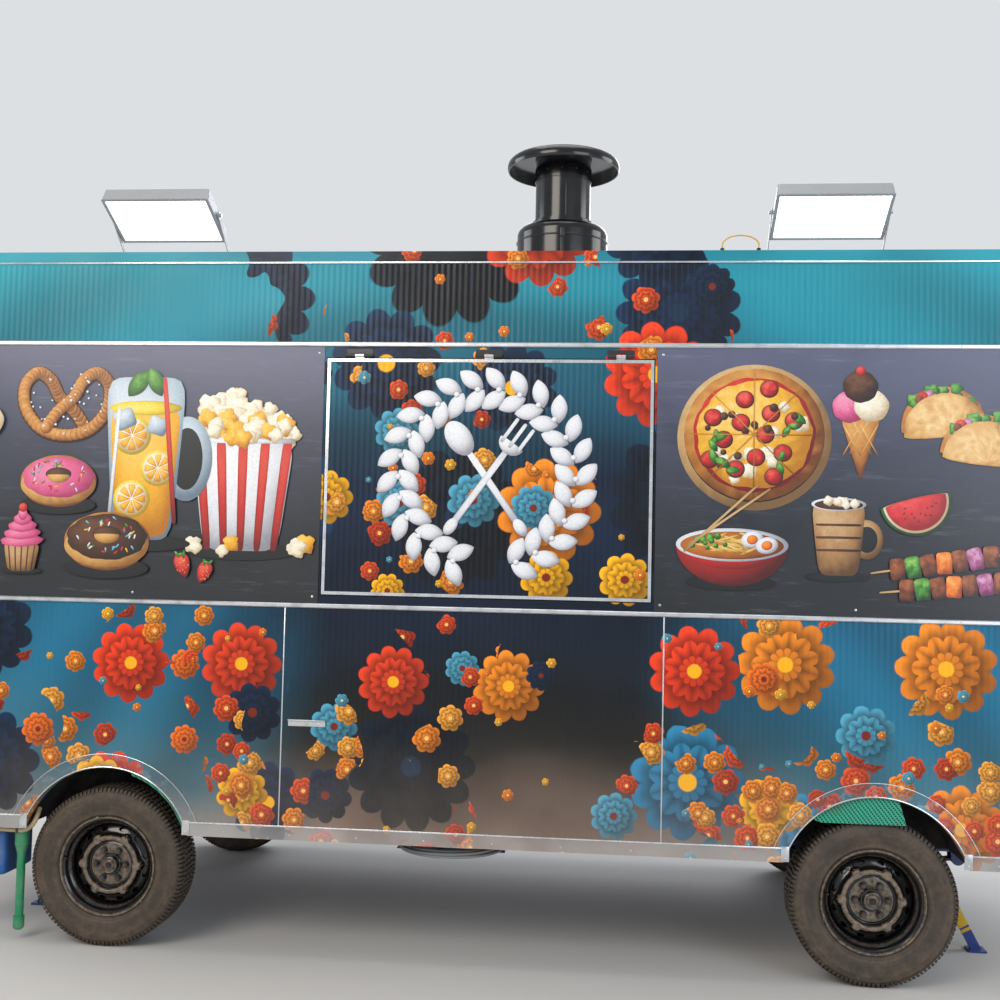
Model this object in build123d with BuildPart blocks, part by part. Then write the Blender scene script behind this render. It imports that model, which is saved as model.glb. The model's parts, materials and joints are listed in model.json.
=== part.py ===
"""Food truck trailer: closed box body on a steered and a fixed axle, serving hatch on one long side.

Millimetres. +X is the rear, -X the drawbar, the serving side faces -Y, +Z is up and Z 0 is the ground.
The origin is on the ground, under the middle of the whole trailer's box.
"""
from build123d import *
import math
import os

os.makedirs("parts", exist_ok=True)

# Running gear that sets the length
WHEELBASE = 3380
OVERHANG = 900              # body past each axle
TONGUE_REACH = 1010         # king bolt to drawbar pin
DRAWBAR_LENGTH = 850        # drawbar pin to towing eye

# Body box
BODY_WIDTH = 2200
ROOF_TOP = 3150
PANEL_T = 50                # sandwich panel of walls, roof, hatch and door
SILL_Z = 520                # lower edge of the walls
FLOOR_T = 40
FLOOR_Z = 620               # underside of the floor, on the chassis
PANEL_GAP = 5               # round the hatch and the door
SEAT = 0.3                  # clearance of pieces that rest on each other

# Wheels
TYRE_R = 353.5
TYRE_W = 215
RIM_SEAT_R = 203
RIM_FLANGE_R = 219
RIM_W = 178                 # over the flanges
RIM_T = 7
WELL_R = 184
WELL_HALF = 30
WELL_RAMP = 30              # rim's edge to the foot of its bead seat
WHEEL_INSET = 30            # side of the body to the tyre's outer face
TREAD_IN = 52               # tyre's side to the flat of its tread
SHOULDER_IN = 22
SHOULDER_DROP = 6
FLANK_IN = 4
FLANK_DROP = 38
BEAD_IN = 10
BEAD_UP = 14
BEAD_STEP = 2
DISC_OUT = 38               # wheel's middle plane to its bolting face
DISC_T = 8
DISC_FLAT_R = 92
RIDGE_R = 118
RIDGE_OUT = 24
HOLLOW_R = 140
HOLLOW_OUT = 14
DISC_EDGE = 8               # wheel's middle plane to the disc's outer edge
DISC_EDGE_T = 12
LUG_COUNT = 6
LUG_CIRCLE_R = 70
LUG_R = 11
LUG_H = 22
VENT_COUNT = 12
LOBE_COUNT = 6
LOBE_CIRCLE_R = 125
LOBE_R = 19
LOBE_OUT = 21               # bolting face to the top of a pressed lobe
VENT_R = 13
VENT_CIRCLE_R = 158
CAP_HUB_R = 46
CAP_HUB_H = 34
CAP_HUB_EDGE = 8
DRUM_BRAKE_R = 150
DRUM_BRAKE_T = 10
DRUM_BRAKE_FACE = 28
HUB_L = 40                  # wheel's middle plane to the hub's inner end
HUB_T = 20

# Arches and wheel boxes
ARCH_R = 400
ARCH_Z = 405
FLARE_W = 60
FLARE_T = 3
BOX_R = 410
BOX_T = 5
BOX_INNER = 700             # centre line to the wheel box's inner wall

# Serving hatch and rear door
HATCH_W = 1460
HATCH_BOTTOM = 1604
HATCH_TOP = 2664
HATCH_FRAME = 14            # bright border
HATCH_PROUD = 2
DOOR_W = 800
DOOR_H = 1950
DOOR_SIDE = 280             # far side of the body to the door's edge
HINGE_R = 8
HINGE_SEG = 40
HINGE_LEAF = 26
HINGE_SHARES = (-0.4, 0, 0.4)

# Rails, boards and trims on the outside
TRIM_T = 2
EAVES_H = 56
BEAD = 4
CORNER_LEG = 40
RAIL_H = 20
RAIL_OUT = 12
RAIL_UP_Z = 2728
RAIL_LOW_Z = 1552
BOARD_T = 4
BOARD_END = 16              # corner angle to the board
SILL_H = 58
SILL_T = 3
SILL_FLANGE = 30

# Floodlights
LAMP_OFFSET = 1463          # middle of the body to the middle of a lamp
LAMP_W = 485
LAMP_D = 296
LAMP_T = 60
LAMP_TILT = 24.1
LAMP_DRAFT = 6              # slope of the housing's sides, degrees
LAMP_OUT = 123              # wall to the middle of the housing
LAMP_Z = 3285
GLASS_MARGIN = 14
GLASS_T = 5
FIN_H = 18
FIN_T = 4
FIN_COUNT = 9
FIN_MARGIN = 34             # housing's edge to the outer fins and their ends
STRAP_W = 30
STRAP_T = 4
STRAP_GAP = 2
STRAP_BASE_IN = 30          # wall's outer face to the strap's foot

# Exhaust on the roof
STACK_OFFSET = 255          # middle of the body to the stack
DRUM_R = 240
DRUM_TOP = 3555
DRUM_SHOULDER = 50
DRUM_BEAD_R = 5
DRUM_BEAD_DOWN = 85         # drum's top to the bead rolled round it
DUCT_CLAMP_T = 12           # ring where the duct stands on the drum
DUCT_CLAMP_H = 30
COLLAR_T = 4
COLLAR_H = 72               # sleeve round the duct under the cap
DUCT_R = 147
CAP_R = 295
CAP_ABOVE = 307             # drum's top to the cap's rim
CAP_H = 78
CAP_RISE = 14
CAP_T = 6
CABLE_R = 3
GLAND_R = 9
GLAND_H = 14

# Chassis frame
RAIL_Y = 620                # centre line to a rail's middle
RAIL_DEPTH = 120
RAIL_FLANGE = 75
RAIL_WALL = 6
CROSS_W = 50
CROSS_H = 60
OUTRIGGER_W = 40
OUTRIGGER_SET = 480          # axle to the outriggers beside it

# Axles and springs
BEAM = 60                   # square axle beam
SPRING_HALF = 450           # axle to spring eye
SPRING_W = 60
LEAF_T = 10
LEAF_SHARE = (1.0, 0.82, 0.62, 0.42)
SPRING_CAMBER = 38
EYE_R = 22
EYE_PIN_R = 8
HANGER_T = 8
HANGER_W = 60
CLAMP_T = 12

# Steering
KINGPIN_IN = 140            # tyre's middle plane to the kingpin
KINGPIN_R = 15
BARREL_R = 30
BARREL_H = 96
YOKE_T = 20
YOKE_IN = 62                # kingpin to the yoke's root
ARM = 160                   # kingpin to tie rod pin
ARM_W = 30
ARM_T = 24
ROD_DROP = 45               # wheel's axis to the rod
ROD_R = 12
ROD_PIN_R = 8
ROD_EYE_R = 20
PIN_CLEARANCE = 0.25
PLATE_R = 145               # brake back plate
PLATE_T = 6
PLATE_IN = 70               # wheel's middle plane to the back plate
SPINDLE_R = 25
KING_BOLT_R = 18
KING_NUT_R = 30
KING_BOSS_R = 50
TONGUE_W = 80
TONGUE_H = 60
TONGUE_EAR = 15
DRAW_PIN_R = 12
DRAW_BARREL_R = 30
DRAWBAR_W = 66
DRAWBAR_T = 50
EYE_OUT_R = 50
EYE_BORE_R = 20
EYE_T = 30

# Corner legs
LEG_SET = 350               # axle to a leg's pivot, towards the body's end
LEG_Y = 420
LEG_PIVOT_Z = 460
LEG_DEG = 28
LEG_W = 44
LEG_THICK = 32
LEG_PIN_R = 8
LEG_EAR_T = 6
LEG_EAR_R = 24
FOOT_L = 80
FOOT_W = 90
FOOT_T = 8

# Pipes and lead under the sill
DRAIN_X = 420               # ahead of the front axle
DRAIN_IN = 80               # wall's outer face to the pipe
DRAIN_R = 19
DRAIN_BOTTOM = 45
SOCKET_R = 31
SOCKET_Z = 430
SOCKET_H = 78
FUNNEL_H = 44
DRAIN_CAP_R = 25
DRAIN_CAP_H = 62
DRAIN_CAP_ROUND = 16
HOSE_R = 11
HOSE_IN = 36                # wall's outer face to the hose
TANK_L = 380
TANK_W = 300
TANK_H = 220
TANK_Z = 282
TANK_X = 500                # ahead of the front axle
TANK_IN = 74
TANK_CORNER = 38
TANK_EDGE = 15
TANK_STRAP_T = 3
TANK_STRAP_W = 40
COIL_X = 1530               # behind the front axle
COIL_IN = 320
COIL_R = 220                # middle of the turns
COIL_HALF_W = 30
COIL_Z = 440
COIL_H = 44
COIL_EDGE = 14
LEAD_R = 7
LEAD_EXIT_X = 150           # from the coil's middle
LEAD_EXIT_Y = -60
LEAD_GLAND_R = 14
LEAD_GLAND_H = 30
PLUG_R = 22
PLUG_L = 110
PLUG_X = -150               # from the coil's middle to the plug's end

# Rear lamps and handle
LAMP_REAR_W = 240
LAMP_REAR_H = 100
LAMP_REAR_T = 25
LAMP_REAR_Z = 590
LAMP_REAR_IN = 200          # from the body's side to the lamp's middle
HANDLE_OUT = 55
HANDLE_L = 130
HANDLE_R = 9
HANDLE_IN = 70              # door's free edge to the handle's shaft
LAMP_REAR_CORNER = 12

# Places worked out from the sizes
BODY_LENGTH = WHEELBASE + 2 * OVERHANG
HALF_W = BODY_WIDTH / 2
DOOR_Y = HALF_W - DOOR_SIDE - DOOR_W / 2
CAP_Z = DRUM_TOP + CAP_ABOVE
WALL_TOP = ROOF_TOP - PANEL_T
TONGUE_Z = TYRE_R + BEAM / 2 + CLAMP_T / 2 + SEAT + TONGUE_H / 2
DRAWBAR_DROP = math.degrees(
    math.asin(TONGUE_Z / math.hypot(DRAWBAR_LENGTH + EYE_OUT_R, EYE_T / 2))
    - math.atan2(EYE_T / 2, DRAWBAR_LENGTH + EYE_OUT_R))
DROP_COS = math.cos(math.radians(DRAWBAR_DROP))
DROP_SIN = math.sin(math.radians(DRAWBAR_DROP))
FRONT_REACH = (WHEELBASE / 2 + TONGUE_REACH
               + (DRAWBAR_LENGTH + EYE_OUT_R) * DROP_COS + EYE_T / 2 * DROP_SIN)
REAR_REACH = BODY_LENGTH / 2 + HANDLE_OUT
BODY_X = (FRONT_REACH - REAR_REACH) / 2

TILT_COS = math.cos(math.radians(LAMP_TILT))
TILT_SIN = math.sin(math.radians(LAMP_TILT))
SERVICE_REACH = HALF_W + LAMP_OUT + LAMP_D / 2 * TILT_COS + LAMP_T / 2 * TILT_SIN
FAR_REACH = HALF_W + FLARE_T
BODY_Y = (SERVICE_REACH - FAR_REACH) / 2

FRONT_X = BODY_X - BODY_LENGTH / 2
REAR_X = BODY_X + BODY_LENGTH / 2
SERVICE_Y = BODY_Y - HALF_W
FAR_Y = BODY_Y + HALF_W
FRONT_AXLE_X = BODY_X - WHEELBASE / 2
REAR_AXLE_X = BODY_X + WHEELBASE / 2
WHEEL_OFF = HALF_W - WHEEL_INSET - TYRE_W / 2
KINGPIN_OFF = WHEEL_OFF - KINGPIN_IN
PIN_X = FRONT_AXLE_X - TONGUE_REACH

# name, end (-1 drawbar, 1 rear), x of the axle
AXLES = (("front", -1, FRONT_AXLE_X), ("rear", 1, REAR_AXLE_X))
# name, side (-1 serving, 1 far), y of the wall's outer face
SIDES = (("service", -1, SERVICE_Y), ("far", 1, FAR_Y))


def upright(y):
    """Plane of a sketch in X and Z; extruding by a negative amount goes to +Y."""
    return Plane.XZ.offset(-y)


def write(part, label):
    """Label a finished piece and write its file."""
    part.label = label
    export_step(part, f"parts/{label}.step")


# Floor, cut round the wheel boxes
with BuildPart() as floor:
    with BuildSketch(Plane.XY.offset(FLOOR_Z)):
        with Locations((BODY_X, BODY_Y)):
            Rectangle(BODY_LENGTH - 2 * PANEL_T, BODY_WIDTH - 2 * PANEL_T)
    extrude(amount=FLOOR_T)
    for _, side, y_wall in SIDES:
        y_box = BODY_Y + side * BOX_INNER
        with BuildSketch(upright(y_box)):
            with Locations(*[(x, ARCH_Z) for _, _, x in AXLES]):
                Circle(BOX_R + BOX_T)
        extrude(amount=-side * (HALF_W - BOX_INNER), mode=Mode.SUBTRACT)
write(floor.part, "floor")


# Long walls with their arches, the serving one with its hatch opening
for name, side, y_wall in SIDES:
    with BuildPart() as wall:
        with BuildSketch(upright(y_wall)):
            with Locations((BODY_X, (SILL_Z + WALL_TOP) / 2)):
                Rectangle(BODY_LENGTH, WALL_TOP - SILL_Z)
            with Locations(*[(x, ARCH_Z) for _, _, x in AXLES]):
                Circle(ARCH_R, mode=Mode.SUBTRACT)
            if name == "service":
                with Locations((BODY_X, (HATCH_BOTTOM + HATCH_TOP) / 2)):
                    Rectangle(HATCH_W + 2 * PANEL_GAP, HATCH_TOP - HATCH_BOTTOM + 2 * PANEL_GAP,
                              mode=Mode.SUBTRACT)
        extrude(amount=side * PANEL_T)
    write(wall.part, f"wall_{name}")


# End walls between the long ones
with BuildPart() as wall_front:
    with BuildSketch(Plane.YZ.offset(FRONT_X)):
        with Locations((BODY_Y, (SILL_Z + WALL_TOP) / 2)):
            Rectangle(BODY_WIDTH - 2 * PANEL_T, WALL_TOP - SILL_Z)
    extrude(amount=PANEL_T)
write(wall_front.part, "wall_front")

DOOR_Z = FLOOR_Z + FLOOR_T + DOOR_H / 2 + PANEL_GAP
with BuildPart() as wall_rear:
    with BuildSketch(Plane.YZ.offset(REAR_X)):
        with Locations((BODY_Y, (SILL_Z + WALL_TOP) / 2)):
            Rectangle(BODY_WIDTH - 2 * PANEL_T, WALL_TOP - SILL_Z)
        with Locations((BODY_Y + DOOR_Y, DOOR_Z)):
            Rectangle(DOOR_W + 2 * PANEL_GAP, DOOR_H + 2 * PANEL_GAP, mode=Mode.SUBTRACT)
    extrude(amount=-PANEL_T)
write(wall_rear.part, "wall_rear")


# Roof panel over all four walls, open under the exhaust
with BuildPart() as roof:
    with BuildSketch(Plane.XY.offset(WALL_TOP)):
        with Locations((BODY_X, BODY_Y)):
            Rectangle(BODY_LENGTH, BODY_WIDTH)
        with Locations((BODY_X + STACK_OFFSET, BODY_Y)):
            Circle(DUCT_R - CAP_T, mode=Mode.SUBTRACT)
    extrude(amount=PANEL_T)
write(roof.part, "roof")


# Folded band round the roof edge, with a bead along its lower lip
with BuildPart() as eaves:
    for z_low, height, out, inside in (
            (ROOF_TOP - EAVES_H, EAVES_H + TRIM_T, TRIM_T, 0),
            (ROOF_TOP, TRIM_T, TRIM_T, -CORNER_LEG),
            (ROOF_TOP - EAVES_H, BEAD, BEAD, 0)):
        with BuildSketch(Plane.XY.offset(z_low)):
            with Locations((BODY_X, BODY_Y)):
                Rectangle(BODY_LENGTH + 2 * out, BODY_WIDTH + 2 * out)
                Rectangle(BODY_LENGTH + 2 * inside, BODY_WIDTH + 2 * inside, mode=Mode.SUBTRACT)
        extrude(amount=height)
write(eaves.part, "roof_trim")


# Angles up the four corners
with BuildPart() as corners:
    with BuildSketch(Plane.XY.offset(SILL_Z)):
        for end in (-1, 1):
            for side in (-1, 1):
                x_edge = BODY_X + end * (BODY_LENGTH / 2 + TRIM_T)
                y_edge = BODY_Y + side * (HALF_W + TRIM_T)
                with Locations((x_edge - end * CORNER_LEG / 2, y_edge - side * TRIM_T / 2)):
                    Rectangle(CORNER_LEG, TRIM_T)
                with Locations((x_edge - end * TRIM_T / 2, y_edge - side * CORNER_LEG / 2)):
                    Rectangle(TRIM_T, CORNER_LEG)
    extrude(amount=ROOF_TOP - EAVES_H - SILL_Z)
write(corners.part, "corner_trims")


# Upper and lower rail along the serving side
RAIL_LENGTH = BODY_LENGTH - 2 * CORNER_LEG
with BuildPart() as side_rails:
    with BuildSketch(upright(SERVICE_Y)):
        with Locations((BODY_X, RAIL_UP_Z), (BODY_X, RAIL_LOW_Z)):
            Rectangle(RAIL_LENGTH, RAIL_H)
    extrude(amount=RAIL_OUT)
    chamfer(side_rails.edges().filter_by(Axis.X).group_by(Axis.Y)[0], RAIL_OUT / 3)
write(side_rails.part, "side_rails")


# Menu boards between the rails, either side of the hatch
BOARD_FROM = HATCH_W / 2 + HATCH_FRAME
BOARD_TO = BODY_LENGTH / 2 - CORNER_LEG - BOARD_END
for name, end, _ in AXLES:
    with BuildPart() as board:
        with BuildSketch(upright(SERVICE_Y)):
            with Locations((BODY_X + end * (BOARD_FROM + BOARD_TO) / 2, (RAIL_UP_Z + RAIL_LOW_Z) / 2)):
                Rectangle(BOARD_TO - BOARD_FROM, RAIL_UP_Z - RAIL_LOW_Z - RAIL_H - 2 * SEAT)
        extrude(amount=BOARD_T)
    write(board.part, f"menu_board_{name}")


# Sill angles, three lengths on each long side, ending at the arches
with BuildPart() as sills:
    for _, side, y_wall in SIDES:
        with BuildSketch(Plane.YZ.offset(FRONT_X + TRIM_T)):
            with Locations((y_wall + side * SILL_T / 2, SILL_Z + SILL_H / 2)):
                Rectangle(SILL_T, SILL_H)
            with Locations((y_wall - side * (SILL_FLANGE - SILL_T) / 2, SILL_Z - SILL_T / 2)):
                Rectangle(SILL_FLANGE + SILL_T, SILL_T)
        extrude(amount=BODY_LENGTH - 2 * TRIM_T)
    with BuildSketch(upright(SERVICE_Y - PANEL_T)):
        with Locations(*[(x, ARCH_Z) for _, _, x in AXLES]):
            Circle(ARCH_R)
    extrude(amount=-(BODY_WIDTH + 2 * PANEL_T), mode=Mode.SUBTRACT)
    with BuildSketch(Plane.XY.offset(SILL_Z)):
        for end in (-1, 1):
            with Locations((BODY_X + end * (BODY_LENGTH - CORNER_LEG) / 2, BODY_Y)):
                Rectangle(CORNER_LEG, BODY_WIDTH + 2 * TRIM_T)
    extrude(amount=SILL_H, mode=Mode.SUBTRACT)
write(sills.part, "sill_trims")


# Arch flares: a flat ring sector outside and a lip through the wall
with BuildPart() as flares:
    for _, side, y_wall in SIDES:
        for reach, depth in ((ARCH_R + FLARE_W, side * -FLARE_T), (ARCH_R, side * (PANEL_T - FLARE_T))):
            with BuildSketch(upright(y_wall)):
                with Locations(*[(x, ARCH_Z) for _, _, x in AXLES]):
                    Circle(reach)
                    Circle(ARCH_R - FLARE_T, mode=Mode.SUBTRACT)
                with Locations((BODY_X, SILL_Z + SILL_H - BODY_WIDTH / 2)):
                    Rectangle(BODY_LENGTH, BODY_WIDTH, mode=Mode.SUBTRACT)
            extrude(amount=depth)
write(flares.part, "arch_flares")


# Wheel boxes: half barrels between each arch and the chassis
with BuildPart() as boxes:
    for _, side, y_wall in SIDES:
        for inner, depth in ((BOX_R, HALF_W - PANEL_T - BOX_INNER), (0, BOX_T)):
            with BuildSketch(upright(BODY_Y + side * BOX_INNER)):
                with Locations(*[(x, ARCH_Z) for _, _, x in AXLES]):
                    Circle(BOX_R + BOX_T)
                    if inner:
                        Circle(inner, mode=Mode.SUBTRACT)
                with Locations((BODY_X, SILL_Z - BODY_WIDTH / 2)):
                    Rectangle(BODY_LENGTH, BODY_WIDTH, mode=Mode.SUBTRACT)
            extrude(amount=-side * depth)
write(boxes.part, "wheel_boxes")


# Serving hatch: panel with a bright frame, hung on three hinges along its top
HATCH_Z = (HATCH_BOTTOM + HATCH_TOP) / 2
HINGE_Y = SERVICE_Y - HINGE_R
HINGE_Z = HATCH_TOP + PANEL_GAP + HINGE_R
HATCH_HINGES = [BODY_X + share * HATCH_W for share in HINGE_SHARES]
with BuildPart() as hatch_panel:
    with BuildSketch(upright(SERVICE_Y)):
        with Locations((BODY_X, HATCH_Z)):
            Rectangle(HATCH_W - 2 * HATCH_FRAME, HATCH_TOP - HATCH_BOTTOM - 2 * HATCH_FRAME)
    extrude(amount=-PANEL_T)
write(hatch_panel.part, "hatch_panel")

with BuildPart() as hatch_frame:
    with BuildSketch(upright(SERVICE_Y - HATCH_PROUD)):
        with Locations((BODY_X, HATCH_Z)):
            Rectangle(HATCH_W, HATCH_TOP - HATCH_BOTTOM)
            Rectangle(HATCH_W - 2 * HATCH_FRAME, HATCH_TOP - HATCH_BOTTOM - 2 * HATCH_FRAME,
                      mode=Mode.SUBTRACT)
    extrude(amount=-(PANEL_T + 2 * HATCH_PROUD))
    with BuildSketch(Plane.YZ.offset(BODY_X - HINGE_SEG / 2)):
        with Locations((HINGE_Y, HINGE_Z)):
            Circle(HINGE_R - SEAT)
        with Locations((SERVICE_Y - HATCH_PROUD - TRIM_T / 2, HINGE_Z - HINGE_LEAF / 2)):
            Rectangle(TRIM_T, HINGE_LEAF)
    hinge_solid = extrude(amount=HINGE_SEG, mode=Mode.PRIVATE)
    for x in HATCH_HINGES:
        add(Pos(x - BODY_X, 0, 0) * hinge_solid)
write(hatch_frame.part, "hatch_frame")

with BuildPart() as hatch_hinges:
    for x in HATCH_HINGES:
        for end in (-1, 1):
            with BuildSketch(Plane.YZ.offset(x + end * (HINGE_SEG + SEAT) - HINGE_SEG / 2)):
                with Locations((HINGE_Y, HINGE_Z)):
                    Circle(HINGE_R)
                with Locations((SERVICE_Y - TRIM_T / 2, HINGE_Z + HINGE_LEAF / 2)):
                    Rectangle(TRIM_T, HINGE_LEAF)
            extrude(amount=HINGE_SEG)
        with BuildSketch(upright(SERVICE_Y)):
            with Locations((x, HINGE_Z + HINGE_R + HINGE_LEAF / 2)):
                Rectangle(3 * HINGE_SEG + 2 * SEAT, HINGE_LEAF - HINGE_R)
        extrude(amount=TRIM_T)
write(hatch_hinges.part, "hatch_hinges")


# Rear door on two hinges at its far edge
DOOR_HINGE_Y = BODY_Y + DOOR_Y + (DOOR_W + PANEL_GAP) / 2
DOOR_HINGE_X = REAR_X + HINGE_R
DOOR_HINGES = [DOOR_Z + share * DOOR_H for share in HINGE_SHARES]
with BuildPart() as rear_door:
    with BuildSketch(Plane.YZ.offset(REAR_X)):
        with Locations((BODY_Y + DOOR_Y, DOOR_Z)):
            Rectangle(DOOR_W, DOOR_H)
    extrude(amount=-PANEL_T)
    for z in DOOR_HINGES:
        with BuildSketch(Plane.XY.offset(z - HINGE_SEG / 2)):
            with Locations((DOOR_HINGE_X, DOOR_HINGE_Y)):
                Circle(HINGE_R - SEAT)
            with Locations((REAR_X + TRIM_T / 2, DOOR_HINGE_Y - HINGE_LEAF / 2)):
                Rectangle(TRIM_T, HINGE_LEAF)
        extrude(amount=HINGE_SEG)
write(rear_door.part, "rear_door")

with BuildPart() as door_hinges:
    for z in DOOR_HINGES:
        for end in (-1, 1):
            with BuildSketch(Plane.XY.offset(z + end * (HINGE_SEG + SEAT) - HINGE_SEG / 2)):
                with Locations((DOOR_HINGE_X, DOOR_HINGE_Y)):
                    Circle(HINGE_R)
                with Locations((REAR_X + TRIM_T / 2, DOOR_HINGE_Y + HINGE_LEAF / 2)):
                    Rectangle(TRIM_T, HINGE_LEAF)
            extrude(amount=HINGE_SEG)
        with BuildSketch(Plane.YZ.offset(REAR_X)):
            with Locations((DOOR_HINGE_Y + HINGE_R + HINGE_LEAF / 2, z)):
                Rectangle(HINGE_LEAF - HINGE_R, 3 * HINGE_SEG + 2 * SEAT)
        extrude(amount=TRIM_T)
write(door_hinges.part, "door_hinges")

HANDLE_Y = BODY_Y + DOOR_Y - DOOR_W / 2 + HANDLE_IN
with BuildPart() as door_handle:
    with BuildSketch(Plane.YZ.offset(REAR_X)):
        with Locations((HANDLE_Y, DOOR_Z)):
            SlotOverall(HANDLE_L, 4 * HANDLE_R, rotation=90)
    extrude(amount=2 * TRIM_T)
    with BuildSketch(Plane.YZ.offset(REAR_X)):
        with Locations((HANDLE_Y, DOOR_Z)):
            Circle(HANDLE_R)
    extrude(amount=HANDLE_OUT)
    with BuildSketch(Plane.YZ.offset(REAR_X + HANDLE_OUT - 2 * HANDLE_R)):
        with Locations((HANDLE_Y + HANDLE_L / 2 - HANDLE_R, DOOR_Z)):
            SlotOverall(HANDLE_L, 2 * HANDLE_R)
    extrude(amount=2 * HANDLE_R)
write(door_handle.part, "door_handle")


# Floodlights on the roof edge, leaning out over the serving side
def lamp_plane(x):
    """Plane through a lamp housing's middle, its normal away from the glass."""
    return Plane((x, SERVICE_Y - LAMP_OUT, LAMP_Z), x_dir=(1, 0, 0), z_dir=(0, TILT_SIN, TILT_COS))


LAMP_X = [BODY_X - LAMP_OFFSET, BODY_X + LAMP_OFFSET]
with BuildPart() as housings:
    for x in LAMP_X:
        base = lamp_plane(x)
        with BuildSketch(base.offset(-LAMP_T / 2)):
            RectangleRounded(LAMP_W, LAMP_D, GLASS_MARGIN)
        extrude(amount=LAMP_T, taper=LAMP_DRAFT)
        with BuildSketch(base.offset(-LAMP_T / 2)):
            Rectangle(LAMP_W - 2 * GLASS_MARGIN, LAMP_D - 2 * GLASS_MARGIN)
        extrude(amount=GLASS_T, mode=Mode.SUBTRACT)
        with BuildSketch(base.offset(LAMP_T / 2)):
            with GridLocations((LAMP_W - 2 * FIN_MARGIN) / (FIN_COUNT - 1), 0, FIN_COUNT, 1):
                Rectangle(FIN_T, LAMP_D - 2 * FIN_MARGIN)
        extrude(amount=FIN_H)
write(housings.part, "floodlight_housings")

with BuildPart() as glasses:
    for x in LAMP_X:
        with BuildSketch(lamp_plane(x).offset(-LAMP_T / 2)):
            Rectangle(LAMP_W - 2 * GLASS_MARGIN - 2 * SEAT, LAMP_D - 2 * GLASS_MARGIN - 2 * SEAT)
        extrude(amount=GLASS_T - SEAT)
write(glasses.part, "floodlight_glasses")

STRAP_FOOT_Y = SERVICE_Y + STRAP_BASE_IN
STRAP_FOOT_Z = ROOF_TOP + TRIM_T
PIVOT_IN = (LAMP_T / 2 - HANDLE_R) * math.tan(math.radians(LAMP_DRAFT)) - SEAT
with BuildPart() as brackets:
    for x in LAMP_X:
        with BuildSketch(Plane.XY.offset(STRAP_FOOT_Z)):
            with Locations((x, STRAP_FOOT_Y)):
                Rectangle(LAMP_W + 2 * (STRAP_GAP + STRAP_T), STRAP_W)
        extrude(amount=STRAP_T)
        for end in (-1, 1):
            with BuildSketch(Plane.YZ.offset(x + end * (LAMP_W / 2 + STRAP_GAP))):
                with BuildLine():
                    Polyline((STRAP_FOOT_Y - STRAP_W / 2, STRAP_FOOT_Z),
                             (STRAP_FOOT_Y + STRAP_W / 2, STRAP_FOOT_Z),
                             (SERVICE_Y - LAMP_OUT + STRAP_W / 2 * TILT_COS, LAMP_Z + STRAP_W / 2),
                             (SERVICE_Y - LAMP_OUT - STRAP_W / 2 * TILT_COS, LAMP_Z - STRAP_W / 4),
                             close=True)
                make_face()
                with Locations((SERVICE_Y - LAMP_OUT, LAMP_Z)):
                    Circle(STRAP_W / 2 + STRAP_T)
            extrude(amount=end * STRAP_T)
            with BuildSketch(Plane.YZ.offset(x + end * (LAMP_W / 2 + STRAP_GAP + STRAP_T))):
                with Locations((SERVICE_Y - LAMP_OUT, LAMP_Z)):
                    Circle(HANDLE_R)
            extrude(amount=-end * (STRAP_T + STRAP_GAP + PIVOT_IN))
write(brackets.part, "floodlight_brackets")


# Exhaust: drum with a rounded shoulder, duct, and a dished cap
STACK_X = BODY_X + STACK_OFFSET
STACK_AXIS = Axis((STACK_X, BODY_Y, 0), (0, 0, 1))
STACK_PLANE = Plane((STACK_X, BODY_Y, 0), x_dir=(1, 0, 0), z_dir=(0, -1, 0))
with BuildPart() as exhaust_drum:
    with BuildSketch(STACK_PLANE):
        with BuildLine():
            Polyline((DUCT_R, DRUM_TOP + DUCT_CLAMP_H), (DUCT_R, ROOF_TOP), (DRUM_R + CORNER_LEG, ROOF_TOP),
                     (DRUM_R + CORNER_LEG, ROOF_TOP + TRIM_T), (DRUM_R, ROOF_TOP + TRIM_T),
                     (DRUM_R, DRUM_TOP - DRUM_SHOULDER))
            RadiusArc((DRUM_R, DRUM_TOP - DRUM_SHOULDER), (DRUM_R - DRUM_SHOULDER, DRUM_TOP),
                      -DRUM_SHOULDER)
            Polyline((DRUM_R - DRUM_SHOULDER, DRUM_TOP), (DUCT_R + DUCT_CLAMP_T, DRUM_TOP),
                     (DUCT_R + DUCT_CLAMP_T, DRUM_TOP + DUCT_CLAMP_H), (DUCT_R, DRUM_TOP + DUCT_CLAMP_H))
        make_face()
        with Locations((DRUM_R, DRUM_TOP - DRUM_BEAD_DOWN)):
            Circle(DRUM_BEAD_R)
    revolve(axis=STACK_AXIS)
write(exhaust_drum.part, "exhaust_drum")

with BuildPart() as exhaust_duct:
    with BuildSketch(Plane.XY.offset(ROOF_TOP)):
        with Locations((STACK_X, BODY_Y)):
            Circle(DUCT_R - SEAT)
            Circle(DUCT_R - CAP_T, mode=Mode.SUBTRACT)
    extrude(amount=CAP_Z + CAP_H / 2 - ROOF_TOP)
    with BuildSketch(Plane.XY.offset(CAP_Z + COLLAR_H / 6 - COLLAR_H)):
        with Locations((STACK_X, BODY_Y)):
            Circle(DUCT_R + COLLAR_T)
            Circle(DUCT_R - CAP_T, mode=Mode.SUBTRACT)
    extrude(amount=COLLAR_H)
write(exhaust_duct.part, "exhaust_duct")

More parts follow.
